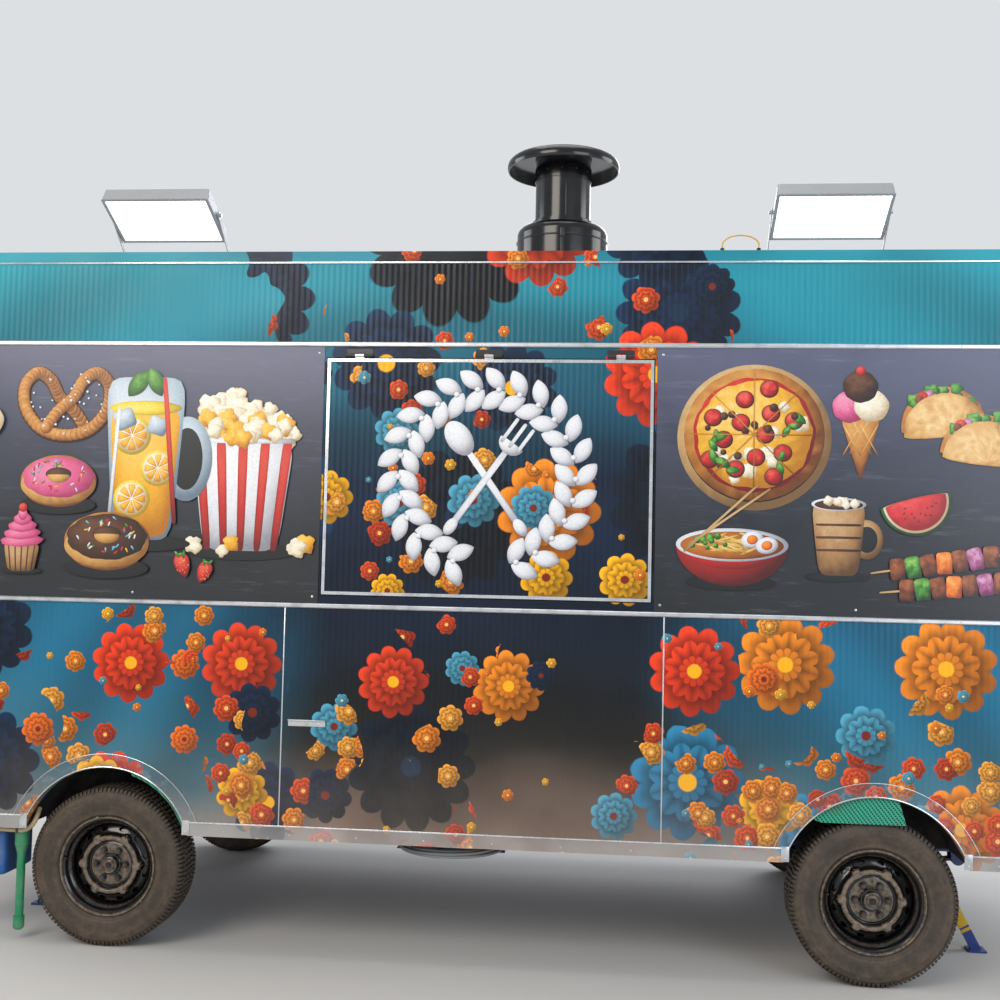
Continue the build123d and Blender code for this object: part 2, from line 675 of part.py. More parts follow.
with BuildPart() as exhaust_cap:
    with BuildSketch(STACK_PLANE):
        with BuildLine():
            Polyline((0, CAP_Z + CAP_H / 2), (CAP_R - CAP_T, CAP_Z + CAP_H / 2), (CAP_R - CAP_T, CAP_Z),
                     (CAP_R, CAP_Z))
            ThreePointArc((CAP_R, CAP_Z), (CAP_R - CAP_RISE / 4, CAP_Z + CAP_H * 0.6),
                          (CAP_R - 2 * CAP_RISE, CAP_Z + CAP_H - CAP_RISE))
            Polyline((CAP_R - 2 * CAP_RISE, CAP_Z + CAP_H - CAP_RISE), (0, CAP_Z + CAP_H),
                     (0, CAP_Z + CAP_H / 2))
        make_face()
    revolve(axis=STACK_AXIS)
write(exhaust_cap.part, "exhaust_cap")


# Lamp cable, arched between two glands on the roof edge beside the rear lamp
CABLE_Y = SERVICE_Y + CORNER_LEG / 2
CABLE_Z = ROOF_TOP + TRIM_T + GLAND_H
CABLE_X = LAMP_X[1]
CABLE_ROUTE = [
    (CABLE_X - 443, CABLE_Y, CABLE_Z),
    (CABLE_X - 443, CABLE_Y, CABLE_Z + 26),
    (CABLE_X - 413, CABLE_Y - 6, CABLE_Z + 50),
    (CABLE_X - 363, CABLE_Y - 4, CABLE_Z + 58),
    (CABLE_X - 315, CABLE_Y + 2, CABLE_Z + 51),
    (CABLE_X - 285, CABLE_Y, CABLE_Z + 28),
    (CABLE_X - 285, CABLE_Y, CABLE_Z),
]


def bend_radii(route, name):
    """Arc radius at each inner point of a route: 0.45 of the shorter run over tan(half the turn)."""
    points = [Vector(*p) for p in route]
    radii = []
    for before, here, after in zip(points, points[1:], points[2:]):
        turn = math.radians((here - before).get_angle(after - here))
        shorter = min((here - before).length, (after - here).length)
        radii.append(0.45 * shorter / math.tan(turn / 2))
    print(name, "radii", [round(r) for r in radii])
    return radii


def tube(route, radius, name):
    """Round tube along straight runs joined by tangent arcs."""
    with BuildPart() as body:
        with BuildLine() as path:
            FilletPolyline(*route, radius=bend_radii(route, name))
        start = Plane(path.line @ 0, z_dir=path.line % 0)
        with BuildSketch(start):
            Circle(radius)
        sweep(path=path.line)
    print(name, "volume over section times length",
          round(body.part.volume / (math.pi * radius ** 2 * path.wire().length), 4))
    return body.part


write(tube(CABLE_ROUTE, CABLE_R, "lamp_cable"), "lamp_cable")

with BuildPart() as cable_glands:
    with BuildSketch(Plane.XY.offset(ROOF_TOP + TRIM_T)):
        with Locations(CABLE_ROUTE[0][:2], CABLE_ROUTE[-1][:2]):
            RegularPolygon(GLAND_R, 6)
    extrude(amount=GLAND_H)
write(cable_glands.part, "cable_glands")


# Chassis: two channels, cross members, outriggers, spring hangers and leg ears
CROSS_X = (
    [FRONT_X + PANEL_T + CROSS_W / 2, REAR_X - PANEL_T - CROSS_W / 2]
    + [x + end * LEG_SET for _, end, x in AXLES]
    + [x - end * (SPRING_HALF + CROSS_W) for _, end, x in AXLES]
    + [FRONT_AXLE_X + COIL_X])
OUTRIGGER_X = [x + end * OUTRIGGER_SET for _, _, x in AXLES for end in (-1, 1)] + [FRONT_AXLE_X + COIL_X]
MAIN_Z = TYRE_R + BEAM / 2 + CLAMP_T + LEAF_T * (len(LEAF_SHARE) - 0.5)
SPRING_EYE_Z = MAIN_Z + SPRING_CAMBER
with BuildPart() as chassis:
    for side in (-1, 1):
        y_web = BODY_Y + side * (RAIL_Y + RAIL_FLANGE / 2 - RAIL_WALL / 2)
        with BuildSketch(Plane.YZ.offset(FRONT_X + PANEL_T)):
            with Locations((y_web, FLOOR_Z - RAIL_DEPTH / 2)):
                Rectangle(RAIL_WALL, RAIL_DEPTH)
            for z in (FLOOR_Z - RAIL_WALL / 2, FLOOR_Z - RAIL_DEPTH + RAIL_WALL / 2):
                with Locations((BODY_Y + side * RAIL_Y, z)):
                    Rectangle(RAIL_FLANGE, RAIL_WALL)
        extrude(amount=BODY_LENGTH - 2 * PANEL_T)
    with BuildSketch(Plane.XY.offset(FLOOR_Z - CROSS_H)):
        with Locations(*[(x, BODY_Y) for x in CROSS_X]):
            Rectangle(CROSS_W, 2 * RAIL_Y + RAIL_FLANGE - RAIL_WALL)
        for side in (-1, 1):
            y_out = BODY_Y + side * (RAIL_Y + RAIL_FLANGE / 2 + HALF_W - PANEL_T) / 2
            with Locations(*[(x, y_out) for x in OUTRIGGER_X + CROSS_X[:2]]):
                Rectangle(OUTRIGGER_W, HALF_W - PANEL_T - RAIL_Y - RAIL_FLANGE / 2)
    extrude(amount=CROSS_H)
    for side in (-1, 1):
        for ear in (-1, 1):
            y_ear = BODY_Y + side * RAIL_Y + ear * (SPRING_W / 2 + SEAT + HANGER_T / 2)
            with BuildSketch(upright(y_ear - HANGER_T / 2)):
                for _, _, x in AXLES:
                    for end in (-1, 1):
                        with Locations((x + end * SPRING_HALF, (SPRING_EYE_Z + FLOOR_Z - RAIL_DEPTH) / 2)):
                            Rectangle(HANGER_W, FLOOR_Z - RAIL_DEPTH - SPRING_EYE_Z)
                        with Locations((x + end * SPRING_HALF, SPRING_EYE_Z)):
                            Circle(HANGER_W / 2)
            extrude(amount=-HANGER_T)
        with BuildSketch(upright(BODY_Y + side * RAIL_Y - SPRING_W / 2 - HANGER_T)):
            for _, _, x in AXLES:
                with Locations(*[(x + end * SPRING_HALF, SPRING_EYE_Z) for end in (-1, 1)]):
                    Circle(EYE_PIN_R)
        extrude(amount=-(SPRING_W + 2 * HANGER_T))
        for ear in (-1, 1):
            y_ear = BODY_Y + side * LEG_Y + ear * (LEG_THICK / 2 + SEAT + LEG_EAR_T / 2)
            with BuildSketch(upright(y_ear - LEG_EAR_T / 2)):
                for _, end, x in AXLES:
                    with Locations((x + end * LEG_SET, (LEG_PIVOT_Z + FLOOR_Z - CROSS_H) / 2)):
                        Rectangle(CROSS_W, FLOOR_Z - CROSS_H - LEG_PIVOT_Z)
                    with Locations((x + end * LEG_SET, LEG_PIVOT_Z)):
                        Circle(LEG_EAR_R)
            extrude(amount=-LEG_EAR_T)
        with BuildSketch(upright(BODY_Y + side * LEG_Y - LEG_THICK / 2 - LEG_EAR_T)):
            with Locations(*[(x + end * LEG_SET, LEG_PIVOT_Z) for _, end, x in AXLES]):
                Circle(LEG_PIN_R)
        extrude(amount=-(LEG_THICK + 2 * LEG_EAR_T))
    with BuildSketch(upright(SERVICE_Y + COIL_IN - OUTRIGGER_W / 2)):
        with Locations((FRONT_AXLE_X + COIL_X, (COIL_Z - TRIM_T + FLOOR_Z - CROSS_H) / 2)):
            Rectangle(2 * TRIM_T, FLOOR_Z - CROSS_H - COIL_Z + TRIM_T)
        with Locations((FRONT_AXLE_X + COIL_X, COIL_Z - TRIM_T - SEAT)):
            Rectangle(2 * (COIL_R + COIL_HALF_W), 2 * TRIM_T)
    extrude(amount=-OUTRIGGER_W)
write(chassis.part, "chassis_frame")


# Leaf springs under the rails
with BuildPart() as springs:
    for side in (-1, 1):
        with BuildSketch(upright(BODY_Y + side * RAIL_Y - SPRING_W / 2)):
            for _, _, x in AXLES:
                main_r = (SPRING_HALF ** 2 + SPRING_CAMBER ** 2) / (2 * SPRING_CAMBER)
                for row, share in enumerate(LEAF_SHARE):
                    leaf_r = main_r + row * LEAF_T
                    half = math.degrees(math.asin(SPRING_HALF * share / leaf_r))
                    with BuildLine():
                        leaf = CenterArc((x, MAIN_Z + main_r), leaf_r, 270 - half, 2 * half)
                    trace(leaf, LEAF_T)
                with Locations(*[(x + end * SPRING_HALF, SPRING_EYE_Z) for end in (-1, 1)]):
                    Circle(EYE_R)
                    Circle(EYE_PIN_R + PIN_CLEARANCE, mode=Mode.SUBTRACT)
        extrude(amount=-SPRING_W)
write(springs.part, "leaf_springs")


# Rear axle: square beam, spring seats, back plates and spindles
def back_plate_plane(x, side):
    """Plane of a brake back plate, its normal outwards."""
    return Plane((x, BODY_Y + side * (WHEEL_OFF - PLATE_IN), TYRE_R), x_dir=(1, 0, 0), z_dir=(0, side, 0))


SPINDLE_L = PLATE_IN + DISC_OUT - SEAT
with BuildPart() as rear_axle:
    with BuildSketch(upright(BODY_Y - WHEEL_OFF + PLATE_IN)):
        with Locations((REAR_AXLE_X, TYRE_R)):
            Rectangle(BEAM, BEAM)
    extrude(amount=-2 * (WHEEL_OFF - PLATE_IN))
    for side in (-1, 1):
        with BuildSketch(upright(BODY_Y + side * RAIL_Y - SPRING_W / 2)):
            with Locations((REAR_AXLE_X, TYRE_R + (BEAM + CLAMP_T) / 2)):
                Rectangle(2 * BEAM, CLAMP_T)
        extrude(amount=-SPRING_W)
        with BuildSketch(back_plate_plane(REAR_AXLE_X, side)):
            Circle(PLATE_R)
        extrude(amount=PLATE_T)
        with BuildSketch(back_plate_plane(REAR_AXLE_X, side)):
            Circle(SPINDLE_R)
        extrude(amount=SPINDLE_L)
write(rear_axle.part, "rear_axle")


# Front axle: square beam with a yoke and kingpin at each end, and the king bolt on its middle
with BuildPart() as front_axle:
    with BuildSketch(upright(BODY_Y - KINGPIN_OFF + YOKE_IN)):
        with Locations((FRONT_AXLE_X, TYRE_R)):
            Rectangle(BEAM, BEAM)
    extrude(amount=-2 * (KINGPIN_OFF - YOKE_IN))
    for side in (-1, 1):
        with BuildSketch(upright(BODY_Y + side * RAIL_Y - SPRING_W / 2)):
            with Locations((FRONT_AXLE_X, TYRE_R + (BEAM + CLAMP_T) / 2)):
                Rectangle(2 * BEAM, CLAMP_T)
        extrude(amount=-SPRING_W)
        yoke_h = BARREL_H + 2 * SEAT + 2 * YOKE_T
        with BuildSketch(Plane.XY.offset(TYRE_R - yoke_h / 2)):
            with Locations((FRONT_AXLE_X, BODY_Y + side * (KINGPIN_OFF - YOKE_IN + YOKE_T / 2))):
                Rectangle(BEAM, YOKE_T)
        extrude(amount=yoke_h)
        for z in (TYRE_R - yoke_h / 2, TYRE_R + yoke_h / 2 - YOKE_T):
            with BuildSketch(Plane.XY.offset(z)):
                with Locations((FRONT_AXLE_X, BODY_Y + side * (KINGPIN_OFF - YOKE_IN / 2))):
                    Rectangle(BEAM, YOKE_IN)
                with Locations((FRONT_AXLE_X, BODY_Y + side * KINGPIN_OFF)):
                    Circle(BEAM / 2)
            extrude(amount=YOKE_T)
        with BuildSketch(Plane.XY.offset(TYRE_R - yoke_h / 2)):
            with Locations((FRONT_AXLE_X, BODY_Y + side * KINGPIN_OFF)):
                Circle(KINGPIN_R)
        extrude(amount=yoke_h)
    with BuildSketch(Plane.XY.offset(TYRE_R + BEAM / 2)):
        with Locations((FRONT_AXLE_X, BODY_Y)):
            Circle(KING_BOSS_R)
    extrude(amount=CLAMP_T / 2)
    with BuildSketch(Plane.XY.offset(TYRE_R + BEAM / 2)):
        with Locations((FRONT_AXLE_X, BODY_Y)):
            Circle(KING_BOLT_R)
    extrude(amount=CLAMP_T / 2 + SEAT + TONGUE_H + SEAT)
    with BuildSketch(Plane.XY.offset(TONGUE_Z + TONGUE_H / 2 + SEAT)):
        with Locations((FRONT_AXLE_X, BODY_Y)):
            RegularPolygon(KING_NUT_R, 6)
    extrude(amount=KING_BOLT_R)
write(front_axle.part, "front_axle")


# Steering knuckles: kingpin barrel, forward arm, back plate and spindle
ROD_Z = TYRE_R - ROD_DROP
for name, side, _ in SIDES:
    y_king = BODY_Y + side * KINGPIN_OFF
    with BuildPart() as knuckle:
        with BuildSketch(Plane.XY.offset(TYRE_R - BARREL_H / 2)):
            with Locations((FRONT_AXLE_X, y_king)):
                Circle(BARREL_R)
        extrude(amount=BARREL_H)
        with BuildSketch(back_plate_plane(FRONT_AXLE_X, side)):
            Circle(BARREL_R)
        extrude(amount=-(KINGPIN_IN - PLATE_IN))
        with BuildSketch(back_plate_plane(FRONT_AXLE_X, side)):
            Circle(PLATE_R)
        extrude(amount=PLATE_T)
        with BuildSketch(back_plate_plane(FRONT_AXLE_X, side)):
            Circle(SPINDLE_R)
        extrude(amount=SPINDLE_L)
        with BuildSketch(Plane.XY.offset(ROD_Z + ARM_T / 2 + SEAT)):
            with Locations((FRONT_AXLE_X - ARM / 2, y_king)):
                Rectangle(ARM, ARM_W)
            with Locations((FRONT_AXLE_X - ARM, y_king)):
                Circle(ROD_EYE_R)
        extrude(amount=ARM_T)
        with BuildSketch(Plane.XY.offset(TYRE_R - BARREL_H)):
            with Locations((FRONT_AXLE_X, y_king)):
                Circle(KINGPIN_R + PIN_CLEARANCE)
        extrude(amount=2 * BARREL_H, mode=Mode.SUBTRACT)
        with BuildSketch(Plane.XY.offset(ROD_Z)):
            with Locations((FRONT_AXLE_X - ARM, y_king)):
                Circle(ROD_PIN_R + PIN_CLEARANCE)
        extrude(amount=2 * ARM_T, mode=Mode.SUBTRACT)
    write(knuckle.part, f"knuckle_{name}")


# Tie rod between the knuckle arms, its middle pinned to the tongue
with BuildPart() as tie_rod:
    with BuildSketch(upright(BODY_Y - KINGPIN_OFF)):
        with Locations((FRONT_AXLE_X - ARM, ROD_Z)):
            Circle(ROD_R)
    extrude(amount=-2 * KINGPIN_OFF)
    with BuildSketch(Plane.XY.offset(ROD_Z - ARM_T / 2)):
        with Locations(*[(FRONT_AXLE_X - ARM, BODY_Y + side * KINGPIN_OFF) for side in (-1, 0, 1)]):
            Circle(ROD_EYE_R)
    extrude(amount=ARM_T)
    with BuildSketch(Plane.XY.offset(ROD_Z)):
        with Locations(*[(FRONT_AXLE_X - ARM, BODY_Y + side * KINGPIN_OFF) for side in (-1, 0, 1)]):
            Circle(ROD_PIN_R)
    extrude(amount=ARM_T * 1.5)
write(tie_rod.part, "tie_rod")


# Steering tongue: box beam from the king bolt to the drawbar pin, with a lug down to the tie rod
with BuildPart() as tongue:
    with BuildSketch(Plane.XY.offset(TONGUE_Z - TONGUE_H / 2)):
        with Locations((FRONT_AXLE_X, BODY_Y)):
            Circle(KING_BOSS_R)
        beam_l = TONGUE_REACH - DRAW_BARREL_R - CLAMP_T
        with Locations((FRONT_AXLE_X - beam_l / 2, BODY_Y)):
            Rectangle(beam_l, TONGUE_W)
    extrude(amount=TONGUE_H)
    for side in (-1, 1):
        y_ear = BODY_Y + side * (DRAWBAR_W / 2 + SEAT + TONGUE_EAR / 2)
        with BuildSketch(upright(y_ear - TONGUE_EAR / 2)):
            with Locations((PIN_X, TONGUE_Z)):
                Circle(TONGUE_H / 2)
            with Locations(((PIN_X + FRONT_AXLE_X - beam_l) / 2 + TONGUE_H / 2, TONGUE_Z)):
                Rectangle(TONGUE_REACH - beam_l + TONGUE_H, TONGUE_H)
        extrude(amount=-TONGUE_EAR)
    with BuildSketch(upright(BODY_Y - DRAWBAR_W / 2 - TONGUE_EAR)):
        with Locations((PIN_X, TONGUE_Z)):
            Circle(DRAW_PIN_R)
    extrude(amount=-(DRAWBAR_W + 2 * TONGUE_EAR))
    lug_z = ROD_Z + ARM_T / 2 + SEAT
    with BuildSketch(Plane.XY.offset(lug_z)):
        with Locations((FRONT_AXLE_X - ARM, BODY_Y)):
            Circle(ROD_EYE_R)
    extrude(amount=TONGUE_Z - lug_z)
    with BuildSketch(Plane.XY.offset(lug_z)):
        with Locations((FRONT_AXLE_X - ARM, BODY_Y)):
            Circle(ROD_PIN_R + PIN_CLEARANCE)
    extrude(amount=ARM_T + SEAT, mode=Mode.SUBTRACT)
    with BuildSketch(Plane.XY.offset(TONGUE_Z - TONGUE_H)):
        with Locations((FRONT_AXLE_X, BODY_Y)):
            Circle(KING_BOLT_R + PIN_CLEARANCE)
    extrude(amount=2 * TONGUE_H, mode=Mode.SUBTRACT)
write(tongue.part, "steering_tongue")


# Drawbar, lowered to the ground, with its towing eye
DRAW_PLANE = Plane((PIN_X, BODY_Y, TONGUE_Z), x_dir=(-DROP_COS, 0, -DROP_SIN),
                   z_dir=(-DROP_SIN, 0, DROP_COS))
with BuildPart() as drawbar:
    with BuildSketch(DRAW_PLANE.offset(-DRAWBAR_T / 2)):
        with BuildLine():
            Polyline((0, DRAWBAR_W / 2 - SEAT), (DRAWBAR_LENGTH - EYE_OUT_R / 2, EYE_T / 2),
                     (DRAWBAR_LENGTH - EYE_OUT_R / 2, -EYE_T / 2), (0, -DRAWBAR_W / 2 + SEAT), close=True)
        make_face()
    extrude(amount=DRAWBAR_T)
    with BuildSketch(upright(BODY_Y - DRAWBAR_W / 2 + SEAT)):
        with Locations((PIN_X, TONGUE_Z)):
            Circle(DRAW_BARREL_R)
    extrude(amount=-(DRAWBAR_W - 2 * SEAT))
    with BuildSketch(DRAW_PLANE.offset(-EYE_T / 2)):
        with Locations((DRAWBAR_LENGTH, 0)):
            Circle(EYE_OUT_R)
    extrude(amount=EYE_T)
    with BuildSketch(DRAW_PLANE.offset(-DRAWBAR_T)):
        with Locations((DRAWBAR_LENGTH, 0)):
            Circle(EYE_BORE_R)
    extrude(amount=2 * DRAWBAR_T, mode=Mode.SUBTRACT)
    with BuildSketch(upright(BODY_Y - DRAWBAR_W)):
        with Locations((PIN_X, TONGUE_Z)):
            Circle(DRAW_PIN_R + PIN_CLEARANCE)
    extrude(amount=-2 * DRAWBAR_W, mode=Mode.SUBTRACT)
write(drawbar.part, "drawbar")


# Tyres and steel wheels
def wheel_plane(x, side):
    """Half plane of a wheel's section: local x outwards, local y radial, axis through the origin."""
    return Plane((x, BODY_Y + side * WHEEL_OFF, TYRE_R), x_dir=(0, side, 0), z_dir=(side, 0, 0))


def face_plane(x, side, out):
    """Plane square to a wheel's axis, this far outwards from its middle."""
    return Plane((x, BODY_Y + side * (WHEEL_OFF + out), TYRE_R), x_dir=(1, 0, 0), z_dir=(0, side, 0))


for end_name, _, x in AXLES:
    for side_name, side, _ in SIDES:
        axle = Axis((x, BODY_Y, TYRE_R), (0, side, 0))
        half_w = TYRE_W / 2
        bead = RIM_W / 2 - RIM_T - SEAT
        bulge_r = (RIM_FLANGE_R + TYRE_R) / 2 - FLANK_IN
        with BuildPart() as tyre:
            with BuildSketch(wheel_plane(x, side)):
                with BuildLine():
                    Polyline((-half_w + SHOULDER_IN, TYRE_R - SHOULDER_DROP),
                             (-half_w + FLANK_IN, TYRE_R - FLANK_DROP), (-half_w, bulge_r),
                             (-half_w + BEAD_IN, RIM_FLANGE_R + BEAD_UP), (-bead, RIM_FLANGE_R + BEAD_STEP),
                             (-bead, RIM_SEAT_R + SEAT), (bead, RIM_SEAT_R + SEAT),
                             (bead, RIM_FLANGE_R + BEAD_STEP), (half_w - BEAD_IN, RIM_FLANGE_R + BEAD_UP),
                             (half_w, bulge_r), (half_w - FLANK_IN, TYRE_R - FLANK_DROP),
                             (half_w - SHOULDER_IN, TYRE_R - SHOULDER_DROP), (half_w - TREAD_IN, TYRE_R),
                             (-half_w + TREAD_IN, TYRE_R), (-half_w + SHOULDER_IN, TYRE_R - SHOULDER_DROP))
                make_face()
            revolve(axis=axle)
        write(tyre.part, f"tyre_{end_name}_{side_name}")

        with BuildPart() as wheel:
            edge = RIM_W / 2
            edge_r = WELL_R - RIM_T / 2
            hub_bore = SPINDLE_R + SEAT
            drum_in = -PLATE_IN + PLATE_T + PANEL_GAP / 2
            with BuildSketch(wheel_plane(x, side)):
                with BuildLine():
                    Polyline((-edge, RIM_FLANGE_R), (-edge, RIM_SEAT_R - RIM_T),
                             (-edge + WELL_RAMP, RIM_SEAT_R - RIM_T), (-WELL_HALF, WELL_R - RIM_T),
                             (WELL_HALF, WELL_R - RIM_T), (edge - WELL_RAMP, RIM_SEAT_R - RIM_T),
                             (edge, RIM_SEAT_R - RIM_T), (edge, RIM_FLANGE_R),
                             (edge - RIM_T, RIM_FLANGE_R), (edge - RIM_T, RIM_SEAT_R),
                             (edge - WELL_RAMP, RIM_SEAT_R), (WELL_HALF, WELL_R), (-WELL_HALF, WELL_R),
                             (-edge + WELL_RAMP, RIM_SEAT_R), (-edge + RIM_T, RIM_SEAT_R),
                             (-edge + RIM_T, RIM_FLANGE_R), (-edge, RIM_FLANGE_R))
                make_face()
                with BuildLine():
                    Polyline((DISC_OUT, hub_bore), (DISC_OUT, DISC_FLAT_R), (DISC_OUT + RIDGE_OUT, RIDGE_R),
                             (DISC_OUT + HOLLOW_OUT, HOLLOW_R), (DISC_EDGE, edge_r),
                             (DISC_EDGE - DISC_EDGE_T, edge_r),
                             (DISC_OUT + HOLLOW_OUT - DISC_EDGE_T, HOLLOW_R - DISC_T),
                             (DISC_OUT + RIDGE_OUT - DISC_T, RIDGE_R - DISC_T / 2),
                             (DISC_OUT - DISC_T, DISC_FLAT_R + DISC_T / 2),
                             (DISC_OUT - DISC_T, hub_bore), (DISC_OUT, hub_bore))
                make_face()
                with BuildLine():
                    Polyline((DISC_OUT - DISC_T, hub_bore), (DISC_OUT - DISC_T, DISC_FLAT_R + DISC_T / 2),
                             (DISC_OUT - DRUM_BRAKE_FACE, DRUM_BRAKE_R), (drum_in, DRUM_BRAKE_R),
                             (drum_in, DRUM_BRAKE_R - DRUM_BRAKE_T),
                             (DISC_OUT - DRUM_BRAKE_FACE - DISC_T, DRUM_BRAKE_R - DRUM_BRAKE_T),
                             (DISC_OUT - 3 * DISC_T, SPINDLE_R + HUB_T), (-HUB_L, SPINDLE_R + HUB_T),
                             (-HUB_L, hub_bore), (DISC_OUT - DISC_T, hub_bore))
                make_face()
                with BuildLine():
                    Polyline((DISC_OUT, 0), (DISC_OUT, CAP_HUB_R),
                             (DISC_OUT + CAP_HUB_H - CAP_HUB_EDGE, CAP_HUB_R - CAP_HUB_EDGE / 2),
                             (DISC_OUT + CAP_HUB_H, CAP_HUB_R - 2 * CAP_HUB_EDGE),
                             (DISC_OUT + CAP_HUB_H, 0), (DISC_OUT, 0))
                make_face()
            revolve(axis=axle)
            with BuildSketch(face_plane(x, side, DISC_OUT)):
                with PolarLocations(LUG_CIRCLE_R, LUG_COUNT):
                    RegularPolygon(LUG_R, 6)
            extrude(amount=LUG_H)
            with BuildSketch(face_plane(x, side, DISC_OUT + HOLLOW_OUT - DISC_T)):
                with PolarLocations(LOBE_CIRCLE_R, LOBE_COUNT):
                    Circle(LOBE_R)
            extrude(amount=LOBE_OUT + DISC_T - HOLLOW_OUT)
            with BuildSketch(face_plane(x, side, 0)):
                with PolarLocations(VENT_CIRCLE_R, VENT_COUNT, start_angle=180 / VENT_COUNT):
                    Circle(VENT_R)
            extrude(amount=DISC_OUT + RIDGE_OUT, mode=Mode.SUBTRACT)
        write(wheel.part, f"wheel_{end_name}_{side_name}")


# Corner legs, lowered to the ground
LEG_TAN = math.tan(math.radians(LEG_DEG))
LEG_COS = math.cos(math.radians(LEG_DEG))
LEG_SIN = math.sin(math.radians(LEG_DEG))
for end_name, end, x in AXLES:
    for side_name, side, _ in SIDES:
        pivot_x = x + end * LEG_SET
        drop = LEG_PIVOT_Z - FOOT_T / 2
        foot_x = pivot_x + end * drop * LEG_TAN
        half_cut = LEG_W / 2 / LEG_COS
        y_leg = BODY_Y + side * LEG_Y - LEG_THICK / 2
        with BuildPart() as leg:
            with BuildSketch(upright(y_leg)):
                with BuildLine():
                    Polyline((pivot_x - end * LEG_W / 2 * LEG_COS, LEG_PIVOT_Z - LEG_W / 2 * LEG_SIN),
                             (pivot_x + end * LEG_W / 2 * LEG_COS, LEG_PIVOT_Z + LEG_W / 2 * LEG_SIN),
                             (foot_x + end * half_cut, FOOT_T / 2), (foot_x - end * half_cut, FOOT_T / 2),
                             close=True)
                make_face()
                with Locations((pivot_x, LEG_PIVOT_Z)):
                    Circle(LEG_W / 2)
            extrude(amount=-LEG_THICK)
            with BuildSketch(Plane.XY):
                with Locations((foot_x, BODY_Y + side * LEG_Y)):
                    Rectangle(FOOT_L, FOOT_W)
            extrude(amount=FOOT_T)
            with BuildSketch(upright(y_leg)):
                with Locations((pivot_x, LEG_PIVOT_Z)):
                    Circle(LEG_PIN_R + PIN_CLEARANCE)
            extrude(amount=-LEG_THICK, mode=Mode.SUBTRACT)
        write(leg.part, f"leg_{end_name}_{side_name}")


# Green drain pipe with its socket and end cap
PIPE_X = FRONT_AXLE_X - DRAIN_X
PIPE_Y = SERVICE_Y + DRAIN_IN
with BuildPart() as drain_pipe:
    with BuildSketch(Plane((PIPE_X, PIPE_Y, 0), x_dir=(1, 0, 0), z_dir=(0, -1, 0))):
        with BuildLine():
            Polyline((DRAIN_CAP_R, DRAIN_BOTTOM + DRAIN_CAP_ROUND),
                     (DRAIN_CAP_R, DRAIN_BOTTOM + DRAIN_CAP_H),
                     (DRAIN_R, DRAIN_BOTTOM + DRAIN_CAP_H), (DRAIN_R, SOCKET_Z - FUNNEL_H),
                     (SOCKET_R, SOCKET_Z), (SOCKET_R, SOCKET_Z + SOCKET_H), (DRAIN_R, SOCKET_Z + SOCKET_H),
                     (DRAIN_R, FLOOR_Z), (0, FLOOR_Z), (0, DRAIN_BOTTOM),
                     (DRAIN_CAP_R - DRAIN_CAP_ROUND, DRAIN_BOTTOM))
            RadiusArc((DRAIN_CAP_R - DRAIN_CAP_ROUND, DRAIN_BOTTOM),
                      (DRAIN_CAP_R, DRAIN_BOTTOM + DRAIN_CAP_ROUND), -DRAIN_CAP_ROUND)
        make_face()
    revolve(axis=Axis((PIPE_X, PIPE_Y, 0), (0, 0, 1)))
write(drain_pipe.part, "drain_pipe")


# Blue water tank under the front overhang, hung in two straps from the floor
TANK_MID = (FRONT_AXLE_X - TANK_X - TANK_L / 2, SERVICE_Y + TANK_IN + TANK_W / 2)
with BuildPart() as water_tank:
    with BuildSketch(Plane.XY.offset(TANK_Z)):
        with Locations(TANK_MID):
            RectangleRounded(TANK_L, TANK_W, TANK_CORNER)
    extrude(amount=TANK_H)
    fillet(water_tank.faces().filter_by(Axis.Z).edges(), TANK_EDGE)
write(water_tank.part, "water_tank")

with BuildPart() as tank_straps:
    for end in (-1, 1):
        with BuildSketch(Plane.YZ.offset(TANK_MID[0] + end * TANK_L / 4 - TANK_STRAP_W / 2)):
            with Locations((TANK_MID[1], (TANK_Z + FLOOR_Z) / 2 - (TANK_STRAP_T + SEAT) / 2)):
                Rectangle(TANK_W + 2 * (TANK_STRAP_T + SEAT), FLOOR_Z - TANK_Z + TANK_STRAP_T + SEAT)
            with Locations((TANK_MID[1], (TANK_Z + FLOOR_Z - SEAT) / 2)):
                Rectangle(TANK_W + 2 * SEAT, FLOOR_Z - TANK_Z + SEAT, mode=Mode.SUBTRACT)
        extrude(amount=TANK_STRAP_W)
write(tank_straps.part, "tank_straps")


# Beige filler hose from the tank, along under the sill and up inside the front arch
HOSE_Y = SERVICE_Y + HOSE_IN
HOSE_ROUTE = [
    (FRONT_AXLE_X - 640, SERVICE_Y + TANK_IN, 455),
    (FRONT_AXLE_X - 640, SERVICE_Y + 44, 455),
    (FRONT_AXLE_X - 622, HOSE_Y, 484),
    (FRONT_AXLE_X - 566, HOSE_Y, 502),
    (FRONT_AXLE_X - 506, HOSE_Y, 503),
    (FRONT_AXLE_X - 440, HOSE_Y, 501),
    (FRONT_AXLE_X - 388, HOSE_Y, 500),
    (FRONT_AXLE_X - 350, HOSE_Y + 2, 526),
    (FRONT_AXLE_X - 342, HOSE_Y + 24, 566),
    (FRONT_AXLE_X - 346, HOSE_Y + 52, 592),
]
write(tube(HOSE_ROUTE, HOSE_R, "water_hose"), "water_hose")


